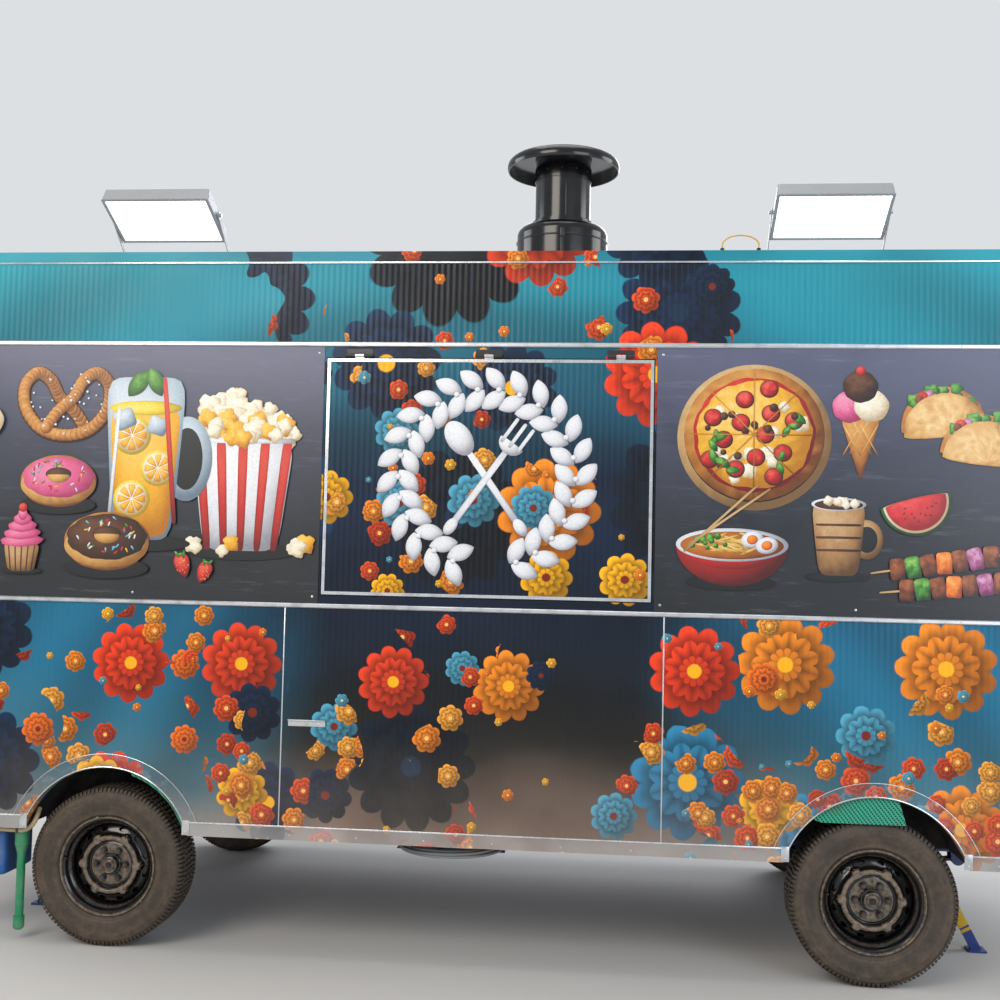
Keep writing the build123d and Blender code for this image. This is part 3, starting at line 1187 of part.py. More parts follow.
# Coiled supply lead on its hanger under the outrigger, its gland in the floor and its plug on top
COIL_C = (FRONT_AXLE_X + COIL_X, SERVICE_Y + COIL_IN)
COIL_AXIS = Axis((COIL_C[0], COIL_C[1], 0), (0, 0, 1))
with BuildPart() as lead_coil:
    with BuildSketch(Plane((COIL_C[0], COIL_C[1], 0), x_dir=(1, 0, 0), z_dir=(0, -1, 0))):
        with Locations((COIL_R, COIL_Z + COIL_H / 2)):
            RectangleRounded(2 * COIL_HALF_W, COIL_H, COIL_EDGE)
    revolve(axis=COIL_AXIS)
write(lead_coil.part, "lead_coil")

LEAD_EXIT = (COIL_C[0] + LEAD_EXIT_X, COIL_C[1] + LEAD_EXIT_Y, FLOOR_Z - LEAD_GLAND_H)
LEAD_ROUTE = [
    LEAD_EXIT,
    (LEAD_EXIT[0], LEAD_EXIT[1], LEAD_EXIT[2] - 30),
    (LEAD_EXIT[0] + 22, LEAD_EXIT[1] - 18, LEAD_EXIT[2] - 56),
    (LEAD_EXIT[0] + 30, LEAD_EXIT[1] - 42, LEAD_EXIT[2] - 78),
    (LEAD_EXIT[0] + 30, LEAD_EXIT[1] - 42, COIL_Z + COIL_H),
]
write(tube(LEAD_ROUTE, LEAD_R, "lead_tail"), "lead_tail")

with BuildPart() as lead_gland:
    with BuildSketch(Plane.XY.offset(LEAD_EXIT[2])):
        with Locations(LEAD_EXIT[:2]):
            RegularPolygon(LEAD_GLAND_R, 6)
    extrude(amount=LEAD_GLAND_H)
write(lead_gland.part, "lead_gland")

with BuildPart() as lead_plug:
    with BuildSketch(Plane.YZ.offset(COIL_C[0] + PLUG_X)):
        with Locations((COIL_C[1] - COIL_R, COIL_Z + COIL_H + SEAT + PLUG_R)):
            Circle(PLUG_R)
    extrude(amount=PLUG_L)
write(lead_plug.part, "lead_plug")


# Rear lamps
with BuildPart() as tail_lamps:
    with BuildSketch(Plane.YZ.offset(REAR_X)):
        with Locations(*[(BODY_Y + side * (HALF_W - LAMP_REAR_IN), LAMP_REAR_Z) for side in (-1, 1)]):
            RectangleRounded(LAMP_REAR_W, LAMP_REAR_H, LAMP_REAR_CORNER)
    extrude(amount=LAMP_REAR_T)
write(tail_lamps.part, "tail_lamps")

print("body middle at x", round(BODY_X, 3), "y", round(BODY_Y, 3), "drawbar drop", round(DRAWBAR_DROP, 3))
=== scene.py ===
import json
import math
import random
from functools import partial

import bmesh
import bpy
from mathutils import Matrix, Vector, noise

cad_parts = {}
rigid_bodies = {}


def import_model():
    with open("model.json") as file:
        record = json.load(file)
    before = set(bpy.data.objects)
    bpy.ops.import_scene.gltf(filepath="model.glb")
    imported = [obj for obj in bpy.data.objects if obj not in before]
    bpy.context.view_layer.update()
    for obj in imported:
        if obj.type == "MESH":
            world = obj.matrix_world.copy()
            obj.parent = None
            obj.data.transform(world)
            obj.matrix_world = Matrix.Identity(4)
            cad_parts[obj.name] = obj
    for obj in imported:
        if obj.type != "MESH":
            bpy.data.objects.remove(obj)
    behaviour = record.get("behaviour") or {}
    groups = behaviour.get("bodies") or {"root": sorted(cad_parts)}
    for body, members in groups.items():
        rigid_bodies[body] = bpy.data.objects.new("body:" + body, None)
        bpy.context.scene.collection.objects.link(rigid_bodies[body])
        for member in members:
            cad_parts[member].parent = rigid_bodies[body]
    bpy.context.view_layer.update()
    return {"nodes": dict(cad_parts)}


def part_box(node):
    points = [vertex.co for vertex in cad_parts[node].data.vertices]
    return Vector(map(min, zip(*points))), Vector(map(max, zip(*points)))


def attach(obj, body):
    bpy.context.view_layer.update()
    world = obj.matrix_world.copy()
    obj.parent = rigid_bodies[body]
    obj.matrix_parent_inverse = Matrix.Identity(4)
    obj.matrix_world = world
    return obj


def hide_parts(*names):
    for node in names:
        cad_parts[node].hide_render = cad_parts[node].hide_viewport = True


bl_info = {
    "name": "Food trailer dresser",
    "version": (1, 0, 0),
    "blender": (4, 5, 0),
    "location": "3D View > Sidebar > Trailer",
    "description": "Dresses the food trailer's frame with ribbed panels, wheels, menu boards, lamps and "
                   "finishes",
    "category": "Object",
}

for leftover in list(bpy.data.objects):
    bpy.data.objects.remove(leftover)
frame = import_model()

# Places and sizes in metres, read from the frame where its nodes tell them
SERVICE_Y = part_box("wall_service")[0][1]
FAR_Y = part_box("wall_far")[1][1]
FRONT_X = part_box("wall_front")[0][0]
REAR_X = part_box("wall_rear")[1][0]
BODY_X = (FRONT_X + REAR_X) / 2
BODY_Y = (SERVICE_Y + FAR_Y) / 2
SILL_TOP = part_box("sill_trims")[1][2]
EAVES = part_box("corner_trims")[1][2]
RAIL_LOW, RAIL_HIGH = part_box("side_rails")
CORNER_LEG = 0.040
TYRE_LOW, TYRE_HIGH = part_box("tyre_front_service")
TYRE_R = (TYRE_HIGH[2] - TYRE_LOW[2]) / 2
AXLE_Z = (TYRE_HIGH[2] + TYRE_LOW[2]) / 2
AXLE_X = [(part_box(f"tyre_{end}_service")[0][0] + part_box(f"tyre_{end}_service")[1][0]) / 2
          for end in ("front", "rear")]
WHEEL_Y = [(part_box(f"tyre_front_{side}")[0][1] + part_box(f"tyre_front_{side}")[1][1]) / 2
           for side in ("service", "far")]
ARCH_Z = 0.405              # middle and radius of the wheel arches
ARCH_R = 0.400
FLARE_R = ARCH_R + 0.0585   # edge of the flare round them
WALL = 0.050                # body panels with their foam
DOOR_WIDE = 0.800           # leaf of the rear door
DOOR_HIGH = 1.950
LAMP_SIZE = (0.485, 0.296, 0.060)                       # floodlight housing
LAMP_MIDDLE = (SERVICE_Y - 0.123, 3.285)
LAMP_TILT = Matrix.Rotation(math.radians(-24.1), 4, "X")
LEG_LEAN = math.radians(28)                             # legs, let down, from the upright
LEG_PIVOT = (0.350, 0.460)                              # from the axle's middle, and above the ground
DRUM_R = 0.240                                          # exhaust drum and duct
DUCT_R = 0.147
LAMP_X = [BODY_X - 1.463, BODY_X + 1.463]


# Finishes

FINISH = {}


def colour(code):
    """Linear colour of an sRGB hex code; a colour picked in the panel is linear already."""
    if not isinstance(code, str):
        return list(code)
    parts = [int(code[i:i + 2], 16) / 255 for i in (1, 3, 5)]
    return [c / 12.92 if c <= 0.04045 else ((c + 0.055) / 1.055) ** 2.4 for c in parts] + [1.0]


def add(tree, kind, values=None, stops=None):
    """Adds a shader node and gives its first output. The kind may name its operation too; of the values, names
    in small letters are the node's settings, and the others are its sockets."""
    kind, _, operation = kind.partition(" ")
    made = tree.nodes.new("ShaderNode" + kind)
    if operation:
        made.operation = operation
    if kind == "Mix":
        made.data_type = "RGBA"
    for key, value in (values or {}).items():
        if isinstance(key, str) and key.islower():
            setattr(made, key, value)
        elif isinstance(value, bpy.types.NodeSocket):
            tree.links.new(value, made.inputs[key])
        else:
            made.inputs[key].default_value = value
    if stops:
        ramp = made.color_ramp.elements
        ramp.remove(ramp[0])
        for i, (at, code) in enumerate(stops):
            spot = ramp[0] if i == 0 else ramp.new(at)
            spot.position = at
            spot.color = colour(code)
    if not made.outputs:
        return None
    return made.outputs[2 if kind == "Mix" else 0]


def start(name):
    """A new material: the adder of its nodes and the place on the piece."""
    made = bpy.data.materials.new(name)
    made.use_nodes = True
    made.node_tree.nodes.clear()
    FINISH[name] = made
    node = partial(add, made.node_tree)
    return node, node("TexCoord").node.outputs["Object"]


def shade(node, sockets):
    """Ends a material in its principled shader."""
    node("OutputMaterial", {"Surface": node("BsdfPrincipled", sockets)})


def enamel(name, code, rough, dusty, grit="#7B6C5B"):
    """Sprayed enamel: a tight gloss with a slight orange peel, dulled by road dust on what faces up."""
    node, place = start(name)
    blotch = node("TexNoise", {"Vector": place, "Scale": 8.0, "Detail": 7.0, "Roughness": 0.65})
    speck = node("TexNoise", {"Vector": place, "Scale": 90.0, "Detail": 3.0})
    peel = node("TexNoise", {"Vector": place, "Scale": 320.0, "Detail": 1.0})
    facing = node("SeparateXYZ", {0: node("TexCoord").node.outputs["Normal"]}).node.outputs["Z"]
    lying = node("MapRange", {"Value": facing, "From Min": -0.2, "From Max": 1.0, "To Min": 0.25,
                              "To Max": 1.0})
    patch = node("MapRange", {"Value": blotch, "From Min": 0.38, "From Max": 0.72})
    fleck = node("MapRange", {"Value": speck, "From Min": 0.45, "From Max": 0.75, "To Min": 0.6, "To Max": 1.0})
    dust = node("Math MULTIPLY", {0: patch, 1: lying})
    dust = node("Math MULTIPLY", {0: dust, 1: fleck})
    dust = node("Math MULTIPLY", {0: dust, 1: dusty})
    tint = node("Mix", {0: dust, 6: colour(code), 7: colour(grit)})
    gloss = node("MapRange", {"Value": dust, "To Min": rough, "To Max": 0.9})
    bump = node("Bump", {"Strength": 0.12, "Distance": 0.0006, "Height": peel})
    shade(node, {"Base Color": tint, "Roughness": gloss, "Normal": bump, "Coat Weight": 0.25,
                 "Coat Roughness": 0.15})


def sheet_metal(name, code, rough, along, tarnish="#5F6163"):
    """Rolled sheet metal: long faint drawing lines, cloudy handling marks and a little grime."""
    node, place = start(name)
    scales = [600.0, 600.0, 600.0]
    scales[along] = 9.0
    lines = node("TexNoise", {"Vector": node("Mapping", {0: place, 3: scales}), "Scale": 1.0, "Detail": 3.0})
    marks = node("TexNoise", {"Vector": place, "Scale": 11.0, "Detail": 6.0, "Roughness": 0.6})
    grime = node("MapRange", {"Value": marks, "From Min": 0.5, "From Max": 0.75, "To Max": 0.45})
    tint = node("Mix", {0: grime, 6: colour(code), 7: colour(tarnish)})
    gloss = node("MapRange", {"Value": lines, "From Min": 0.3, "From Max": 0.7, "To Min": rough,
                              "To Max": rough + 0.18})
    bump = node("Bump", {"Strength": 0.15, "Distance": 0.0003, "Height": lines})
    shade(node, {"Base Color": tint, "Metallic": 0.9, "Roughness": gloss, "Normal": bump})


def moulded(name, code, rough, pale=0.12, grain=420.0):
    """Moulded plastic or rubber: a fine grain, a slow change of tone and a dull bloom in patches."""
    node, place = start(name)
    tone = node("TexNoise", {"Vector": place, "Scale": 14.0, "Detail": 5.0})
    skin = node("TexNoise", {"Vector": place, "Scale": grain, "Detail": 2.0})
    bloom = node("MapRange", {"Value": tone, "From Min": 0.42, "From Max": 0.7, "To Max": pale})
    tint = node("Mix", {0: bloom, 6: colour(code), 7: colour("#B9B2A6")})
    gloss = node("MapRange", {"Value": tone, "From Min": 0.3, "From Max": 0.7, "To Min": rough - 0.08,
                              "To Max": rough + 0.12})
    bump = node("Bump", {"Strength": 0.2, "Distance": 0.0004, "Height": skin})
    shade(node, {"Base Color": tint, "Roughness": gloss, "Normal": bump})


def blooms(node, spot, under, pitch, shift, petals, share, region, inks, heart, seed, sizes=(0.18, 0.38),
           wander=0.42):
    """Printed blossoms: one flower to a cell, each with its own size, turn and ink, darker to its heart."""
    moved = node("VectorMath ADD", {0: spot, 1: (shift, shift * 0.61, 0.0)})
    cells = node("TexVoronoi", {"voronoi_dimensions": "2D", "Vector": moved, "Scale": 1 / pitch,
                                "Randomness": wander}).node
    away = node("VectorMath SUBTRACT", {0: moved, 1: cells.outputs["Position"]})
    reach = node("VectorMath LENGTH", {0: away}).node.outputs["Value"]
    parts = node("SeparateXYZ", {0: away}).node
    dice = node("SeparateColor", {0: cells.outputs["Color"]}).node
    turn = node("Math ARCTAN2", {0: parts.outputs["Y"], 1: parts.outputs["X"]})
    turn = node("Math MULTIPLY_ADD", {0: dice.outputs[0], 1: 6.2832, 2: turn})
    lobe = node("Math COSINE", {0: node("Math MULTIPLY", {0: turn, 1: petals / 2})})
    lobe = node("Math ABSOLUTE", {0: lobe})
    lobe = node("Math POWER", {0: lobe, 1: 0.7})
    size = node("MapRange", {"Value": dice.outputs[1], "To Min": pitch * sizes[0], "To Max": pitch * sizes[1]})
    rim = node("MapRange", {"Value": lobe, "To Min": 0.80, "To Max": 1.0})
    rim = node("Math MULTIPLY", {0: rim, 1: size})
    depth = node("Math DIVIDE", {0: reach, 1: rim})
    inside = node("MapRange", {"Value": depth, "From Min": 1.0, "From Max": 0.97, "To Min": 0.0, "To Max": 1.0})
    # the petals stand in rings, each ring turned half a petal against the next
    tier = node("Math MULTIPLY", {0: depth, 1: 3.0})
    step = node("Math FLOOR", {0: tier})
    along = node("Math FRACT", {0: tier})
    turn = node("Math MULTIPLY_ADD", {0: step, 1: math.pi / petals, 2: turn})
    petal = node("Math COSINE", {0: node("Math MULTIPLY", {0: turn, 1: petals / 2})})
    petal = node("Math ABSOLUTE", {0: petal})
    chance = node("Math FRACT", {0: node("Math MULTIPLY", {0: dice.outputs[2], 1: seed})})
    room = node("Math MULTIPLY", {0: region, 1: share})
    shown = node("Math LESS_THAN", {0: chance, 1: room})
    mask = node("Math MULTIPLY", {0: inside, 1: shown})
    ink = node("ValToRGB", {0: dice.outputs[2]}, inks)
    ink.node.color_ramp.interpolation = "CONSTANT"
    # the print shades each petal from a dark root to a light edge, with a soft lit side
    light = node("Math SUBTRACT", {0: parts.outputs["Y"], 1: parts.outputs["X"]})
    light = node("Math DIVIDE", {0: light, 1: size})
    round_off = node("MapRange", {"Value": light, "From Min": -1.4, "From Max": 1.4, "To Min": 0.3,
                                  "To Max": 1.15})
    root = node("MapRange", {"interpolation_type": "SMOOTHSTEP", "Value": along, "From Min": 0.0,
                             "From Max": 0.8, "To Min": 0.5, "To Max": 1.12})
    crease = node("MapRange", {"Value": petal, "From Min": 0.0, "From Max": 0.6, "To Min": 0.62, "To Max": 1.0})
    tone = node("Math MULTIPLY", {0: round_off, 1: root})
    tone = node("Math MULTIPLY", {0: tone, 1: crease})
    shaded = node("VectorMath SCALE", {0: ink, "Scale": tone})
    middle = node("Math DIVIDE", {0: reach, 1: size})
    eye = node("MapRange", {"Value": middle, "From Min": 0.17, "From Max": 0.14})
    flower = node("Mix", {0: eye, 6: shaded, 7: colour(heart)})
    return node("Mix", {0: mask, 6: under, 7: flower})


def printed_wrap(name, lively, pale=0.0, crinkle=0.0):
    """Printed vinyl wrap under a satin laminate: teal ends, a night-blue middle, a sandy foot and drifts of
    blossoms. Over the sill the bare metal shows through by the pale share; over the flares the sheet below is
    crinkled."""
    node, place = start(name)
    parts = node("SeparateXYZ", {0: place}).node
    across = node("Math ADD", {0: parts.outputs["X"], 1: parts.outputs["Y"]})
    across = node("Math SUBTRACT", {0: across, 1: BODY_X + SERVICE_Y})
    spot = node("CombineXYZ", {0: across, 1: parts.outputs["Z"]})
    drift = node("TexNoise", {"noise_dimensions": "2D", "Vector": spot, "Scale": 1.3, "Detail": 3.0})
    bend = node("MapRange", {"Value": drift, "To Min": -0.35, "To Max": 0.35})
    far_out = node("Math ABSOLUTE", {0: across})
    far_out = node("Math ADD", {0: far_out, 1: bend})
    ends = node("MapRange", {"interpolation_type": "SMOOTHSTEP", "Value": far_out, "From Min": 0.55,
                             "From Max": 1.75})
    height = node("Math MULTIPLY_ADD", {0: drift, 1: 0.25, 2: parts.outputs["Z"]})
    night = node("ValToRGB", {0: node("MapRange", {"Value": height, "From Min": 0.5, "From Max": 3.3})}, [
        (0.01, "#A78F7E"), (0.10, "#6E5A50"), (0.19, "#26231F"), (0.28, "#0C1218"),
        (0.40, "#07192E"), (0.62, "#08203A"), (0.78, "#14566C"), (0.92, "#1D8496")])
    teal = node("ValToRGB", {0: node("MapRange", {"Value": height, "From Min": 0.5, "From Max": 3.3})}, [
        (0.02, "#A79A90"), (0.14, "#3E7180"), (0.30, "#1B6B8B"),
        (0.62, "#12658A"), (0.84, "#1B8497"), (0.98, "#2796A6")])
    ground = node("Mix", {0: ends, 6: night, 7: teal})
    swell = node("TexWave", {"wave_type": "RINGS", "rings_direction": "Z", "Vector": spot, "Scale": 0.55,
                             "Distortion": 5.5, "Detail": 1.5, "Detail Scale": 0.8})
    swell = node("MapRange", {"Value": swell, "To Min": 0.72, "To Max": 1.12})
    ground = node("VectorMath SCALE", {0: ground, "Scale": swell})
    # the blossoms crowd the lower panel and thin out over the plain header
    low = node("MapRange", {"Value": parts.outputs["Z"], "From Min": 1.75, "From Max": 1.45})
    sides = node("MapRange", {"Value": far_out, "From Min": 0.4, "From Max": 1.1, "To Min": 0.25,
                              "To Max": 1.0})
    dense = node("Math MULTIPLY", {0: low, 1: sides})
    centre = node("MapRange", {"Value": far_out, "From Min": 1.25, "From Max": 0.75})
    high = node("Math MULTIPLY", {0: centre, 1: lively})
    region = node("Math MAXIMUM", {0: dense, 1: high})
    middle = node("Math MAXIMUM", {0: centre, 1: node("Math MULTIPLY", {0: dense, 1: 0.45})})
    crowd = node("TexNoise", {"noise_dimensions": "2D", "Vector": spot, "Scale": 1.9, "Detail": 1.0})
    crowd = node("MapRange", {"Value": crowd, "From Min": 0.50, "From Max": 0.56})
    foot = node("MapRange", {"Value": parts.outputs["Z"], "From Min": 1.15, "From Max": 0.9, "To Min": 0.35,
                             "To Max": 1.0})
    drifts = node("Math MULTIPLY", {0: region, 1: crowd})
    drifts = node("Math MULTIPLY", {0: drifts, 1: foot})
    print_ = blooms(node, spot, ground, 1.02, 0.37, 13, 0.9, middle,
                    [(0.0, "#0C2746"), (0.3, "#17508A"), (0.62, "#071626"), (0.85, "#1D6390")], "#102A44", 3.7,
                    (0.26, 0.42))
    print_ = blooms(node, spot, print_, 0.60, 2.93, 11, 0.86, region,
                    [(0.0, "#EE3F17"), (0.22, "#0B2A4A"), (0.44, "#F28A1E"), (0.66, "#E2401B"),
                     (0.88, "#2C7FA6")],
                    "#FDB515", 5.3, (0.26, 0.44))
    print_ = blooms(node, spot, print_, 0.33, 4.41, 9, 0.46, region,
                    [(0.0, "#FDB515"), (0.3, "#F7731E"), (0.55, "#4E9DB8"), (0.8, "#0B2440")], "#7A2410", 7.1,
                    (0.20, 0.42))
    print_ = blooms(node, spot, print_, 0.115, 7.77, 7, 1.0, drifts,
                    [(0.0, "#F58A24"), (0.3, "#E5501D"), (0.62, "#F9A63A"), (0.85, "#C9401A")], "#FFC56A", 9.9,
                    (0.36, 0.58), 0.8)
    print_ = blooms(node, spot, print_, 0.12, 9.13, 6, 0.10, region,
                    [(0.0, "#FF8A1C"), (0.5, "#FFB92E"), (0.8, "#57A6C0")], "#FFD873", 11.3, (0.10, 0.26), 0.9)
    film = node("TexNoise", {"Vector": place, "Scale": 5.0, "Detail": 6.0})
    haze = node("MapRange", {"Value": parts.outputs["Z"], "From Min": 1.0, "From Max": 0.5, "To Min": 0.0,
                             "To Max": 0.35})
    haze = node("Math MULTIPLY", {0: haze, 1: film})
    faded = node("Mix", {0: haze, 6: print_, 7: colour("#A8998A")})
    gloss = node("MapRange", {"Value": film, "From Min": 0.3, "From Max": 0.7, "To Min": 0.34, "To Max": 0.5})
    ripple = node("TexNoise", {"Vector": place, "Scale": 45.0, "Detail": 2.0})
    bump = node("Bump", {"Strength": 0.1, "Distance": 0.001, "Height": ripple})
    if crinkle:
        folds = node("TexNoise", {"Vector": place, "Scale": 24.0, "Detail": 4.0, "Roughness": 0.65,
                                  "Distortion": 0.6})
        bump = node("Bump", {"Strength": crinkle, "Distance": 0.006, "Height": folds})
        # the flare greys a little all over and its crease ridges lighten: painted highlight on the crinkles
        crease_highlight = node("MapRange", {"Value": folds, "From Min": 0.52, "From Max": 0.66, "To Min": 0.08,
                                    "To Max": 0.5})
        faded = node("Mix", {0: crease_highlight, 6: faded, 7: colour("#8C9AA6")})
    if pale:
        bare = node("MapRange", {"Value": film, "From Min": 0.35, "From Max": 0.65, "To Min": pale * 0.6,
                                 "To Max": pale})
        faded = node("Mix", {0: bare, 6: faded, 7: colour("#C4C6C8")})
    shade(node, {"Base Color": faded, "Roughness": gloss, "Specular IOR Level": 0.3, "Normal": bump,
                 "Coat Weight": 0.06, "Coat Roughness": 0.12})


def slate_board(name):
    """Chalkboard film on aluminium composite: slate grey above, near black below, with rubbed-out chalk."""
    node, place = start(name)
    height = node("SeparateXYZ", {0: place}).node.outputs["Z"]
    smear = node("TexNoise", {"Vector": node("Mapping", {0: place, 3: (2.2, 2.2, 3.4)}), "Scale": 1.0,
                              "Detail": 9.0, "Roughness": 0.68, "Distortion": 0.8})
    rise = node("MapRange", {"Value": height, "From Min": RAIL_LOW[2], "From Max": RAIL_HIGH[2]})
    tone = node("Math MULTIPLY_ADD", {0: smear, 1: 0.35, 2: node("Math SUBTRACT", {0: rise, 1: 0.17})})
    tint = node("ValToRGB", {0: tone},
                [(0.0, "#171B20"), (0.30, "#22272F"), (0.62, "#3B3F50"), (0.95, "#5C5F78")])
    streak = node("TexNoise", {"Vector": node("Mapping", {0: place, 2: (0.0, 0.5, 0.0), 3: (3.0, 3.0, 26.0)}),
                               "Scale": 1.0, "Detail": 8.0, "Roughness": 0.75})
    chalk = node("MapRange", {"Value": streak, "From Min": 0.56, "From Max": 0.8, "To Max": 0.16})
    tint = node("Mix", {0: chalk, 6: tint, 7: colour("#C9CDD8")})
    gloss = node("MapRange", {"Value": smear, "From Min": 0.3, "From Max": 0.7, "To Min": 0.34, "To Max": 0.5})
    shade(node, {"Base Color": tint, "Roughness": gloss, "Coat Weight": 0.3, "Coat Roughness": 0.2})


def netting(name):
    """Woven shade net laid in the arch: green tape, crossed on the slant every 14 mm, with painted shade in the
    open gaps between.
    """
    node, place = start(name)
    turned = node("Mapping", {0: place, 2: (0.0, math.radians(38), 0.0)})
    weft = node("TexWave", {"bands_direction": "X", "Vector": turned, "Scale": 22.0, "Distortion": 0.6,
                            "Detail": 1.0})
    warp = node("TexWave", {"bands_direction": "Z", "Vector": turned, "Scale": 30.0, "Distortion": 0.6,
                            "Detail": 1.0})
    thread = node("Math MAXIMUM", {0: weft, 1: node("Math MULTIPLY", {0: warp, 1: 0.8})})
    worn = node("TexNoise", {"Vector": place, "Scale": 9.0, "Detail": 4.0})
    # darkest where both threads are low: painted shade in the open gaps of the weave
    tint = node("ValToRGB", {0: thread}, [(0.30, "#05473B"), (0.62, "#0B8468"), (0.95, "#3DB794")])
    tint = node("Mix", {0: node("MapRange", {"Value": worn, "From Min": 0.45, "From Max": 0.75, "To Max": 0.5}),
                        6: tint, 7: colour("#4C5A4C")})
    bump = node("Bump", {"Strength": 0.6, "Distance": 0.002, "Height": thread})
    shade(node, {"Base Color": tint, "Roughness": 0.7, "Normal": bump})


def road_rubber(name):
    """Tyre rubber under dry road dust: black in the grooves, beige brown on the walls where dust holds."""
    node, place = start(name)
    held = node("Attribute", {"attribute_name": "dust"}).node.outputs["Fac"]
    rough = node("TexNoise", {"Vector": place, "Scale": 30.0, "Detail": 8.0, "Roughness": 0.7})
    cloud = node("TexNoise", {"Vector": place, "Scale": 6.5, "Detail": 5.0})
    grain = node("TexNoise", {"Vector": place, "Scale": 380.0, "Detail": 2.0})
    mixed = node("MapRange", {"Value": rough, "From Min": 0.3, "From Max": 0.68, "To Min": 0.3, "To Max": 1.0})
    mixed = node("Math MULTIPLY", {0: mixed, 1: held})
    slow = node("MapRange", {"Value": cloud, "From Min": 0.3, "From Max": 0.65, "To Min": 0.55, "To Max": 1.1})
    mixed = node("Math", {"operation": "MULTIPLY", "use_clamp": True, 0: mixed, 1: slow})
    tint = node("Mix", {0: mixed, 6: colour("#171513"), 7: colour("#6E5F50")})
    bump = node("Bump", {"Strength": 0.3, "Distance": 0.0008, "Height": node("Math ADD", {0: grain, 1: rough})})
    shade(node, {"Base Color": tint,
                 "Roughness": node("MapRange", {"Value": mixed, "To Min": 0.5, "To Max": 0.88}),
                 "Normal": bump})


def dusty_wheel(name):
    """Pressed steel wheel in gloss black: dust lies on flange, ridge and bolt face; the well stays black."""
    node, place = start(name)
    held = node("Attribute", {"attribute_name": "dust"}).node.outputs["Fac"]
    fleck = node("TexNoise", {"Vector": place, "Scale": 60.0, "Detail": 7.0, "Roughness": 0.7})
    broken = node("MapRange", {"Value": fleck, "From Min": 0.36, "From Max": 0.6, "To Min": 0.15,
                               "To Max": 1.0})
    dust = node("Math MULTIPLY", {0: broken, 1: held})
    tint = node("Mix", {0: dust, 6: colour("#0D0E10"), 7: colour("#8A7966")})
    peel = node("TexNoise", {"Vector": place, "Scale": 260.0, "Detail": 1.0})
    bump = node("Bump", {"Strength": 0.15, "Distance": 0.0005, "Height": peel})
    shade(node, {"Base Color": tint,
                 "Roughness": node("MapRange", {"Value": dust, "To Min": 0.16, "To Max": 0.8}), "Normal": bump,
                 "Coat Weight": 0.4, "Coat Roughness": 0.08})


def lit_glass(name, strength):
    """Floodlight face: a diffuser over rows of emitters 30 mm apart, lit, so it shows near white."""
    node, place = start(name)
    rows = node("TexVoronoi", {"feature": "F1", "distance": "CHEBYCHEV", "Vector": place, "Scale": 33.0,
                               "Randomness": 0.0})
    spot = node("MapRange", {"interpolation_type": "SMOOTHSTEP", "Value": rows, "From Min": 0.12,
                             "From Max": 0.45, "To Min": 1.0, "To Max": 0.0})
    tint = node("Mix", {0: spot, 6: colour("#DDE3EA"), 7: colour("#FFFFFF")})
    glow = node("MapRange", {"Value": spot, "To Min": strength * 0.62, "To Max": strength * 1.3})
    shade(node, {"Base Color": tint, "Roughness": 0.12, "Emission Color": tint, "Emission Strength": glow,
                 "Coat Weight": 0.5})


def printed_picture(name):
    """Screen-printed food pictures under a clear laminate: the inks come from the piece's own colour layer."""
    node, place = start(name)
    ink = node("Attribute", {"attribute_name": "ink"}).node.outputs["Color"]
    crumb = node("TexNoise", {"Vector": place, "Scale": 130.0, "Detail": 5.0, "Roughness": 0.7})
    tone = node("MapRange", {"Value": crumb, "From Min": 0.3, "From Max": 0.7, "To Min": 0.86, "To Max": 1.12})
    shade(node, {"Base Color": node("VectorMath SCALE", {0: ink, "Scale": tone}), "Roughness": 0.38,
                 "Coat Weight": 0.3, "Coat Roughness": 0.2})


def phenolic_floor(name):
    """Phenolic birch floor: brown film with a wire-mesh print of 12 mm squares, scuffed along the aisle."""
    node, place = start(name)
    mesh_print = node("TexVoronoi", {"feature": "DISTANCE_TO_EDGE", "Vector": place, "Scale": 83.0,
                                     "Randomness": 0.0})
    raised = node("MapRange", {"Value": mesh_print, "From Min": 0.05, "From Max": 0.15})
    scuff = node("TexNoise", {"Vector": node("Mapping", {0: place, 3: (1.0, 4.0, 1.0)}), "Scale": 4.0,
                              "Detail": 8.0})
    tint = node("ValToRGB", {0: scuff}, [(0.3, "#2E2019"), (0.55, "#4A3427"), (0.8, "#7A6250")])
    bump = node("Bump", {"Strength": 0.4, "Distance": 0.0008, "Height": raised})
    shade(node, {"Base Color": tint, "Roughness": 0.55, "Normal": bump})


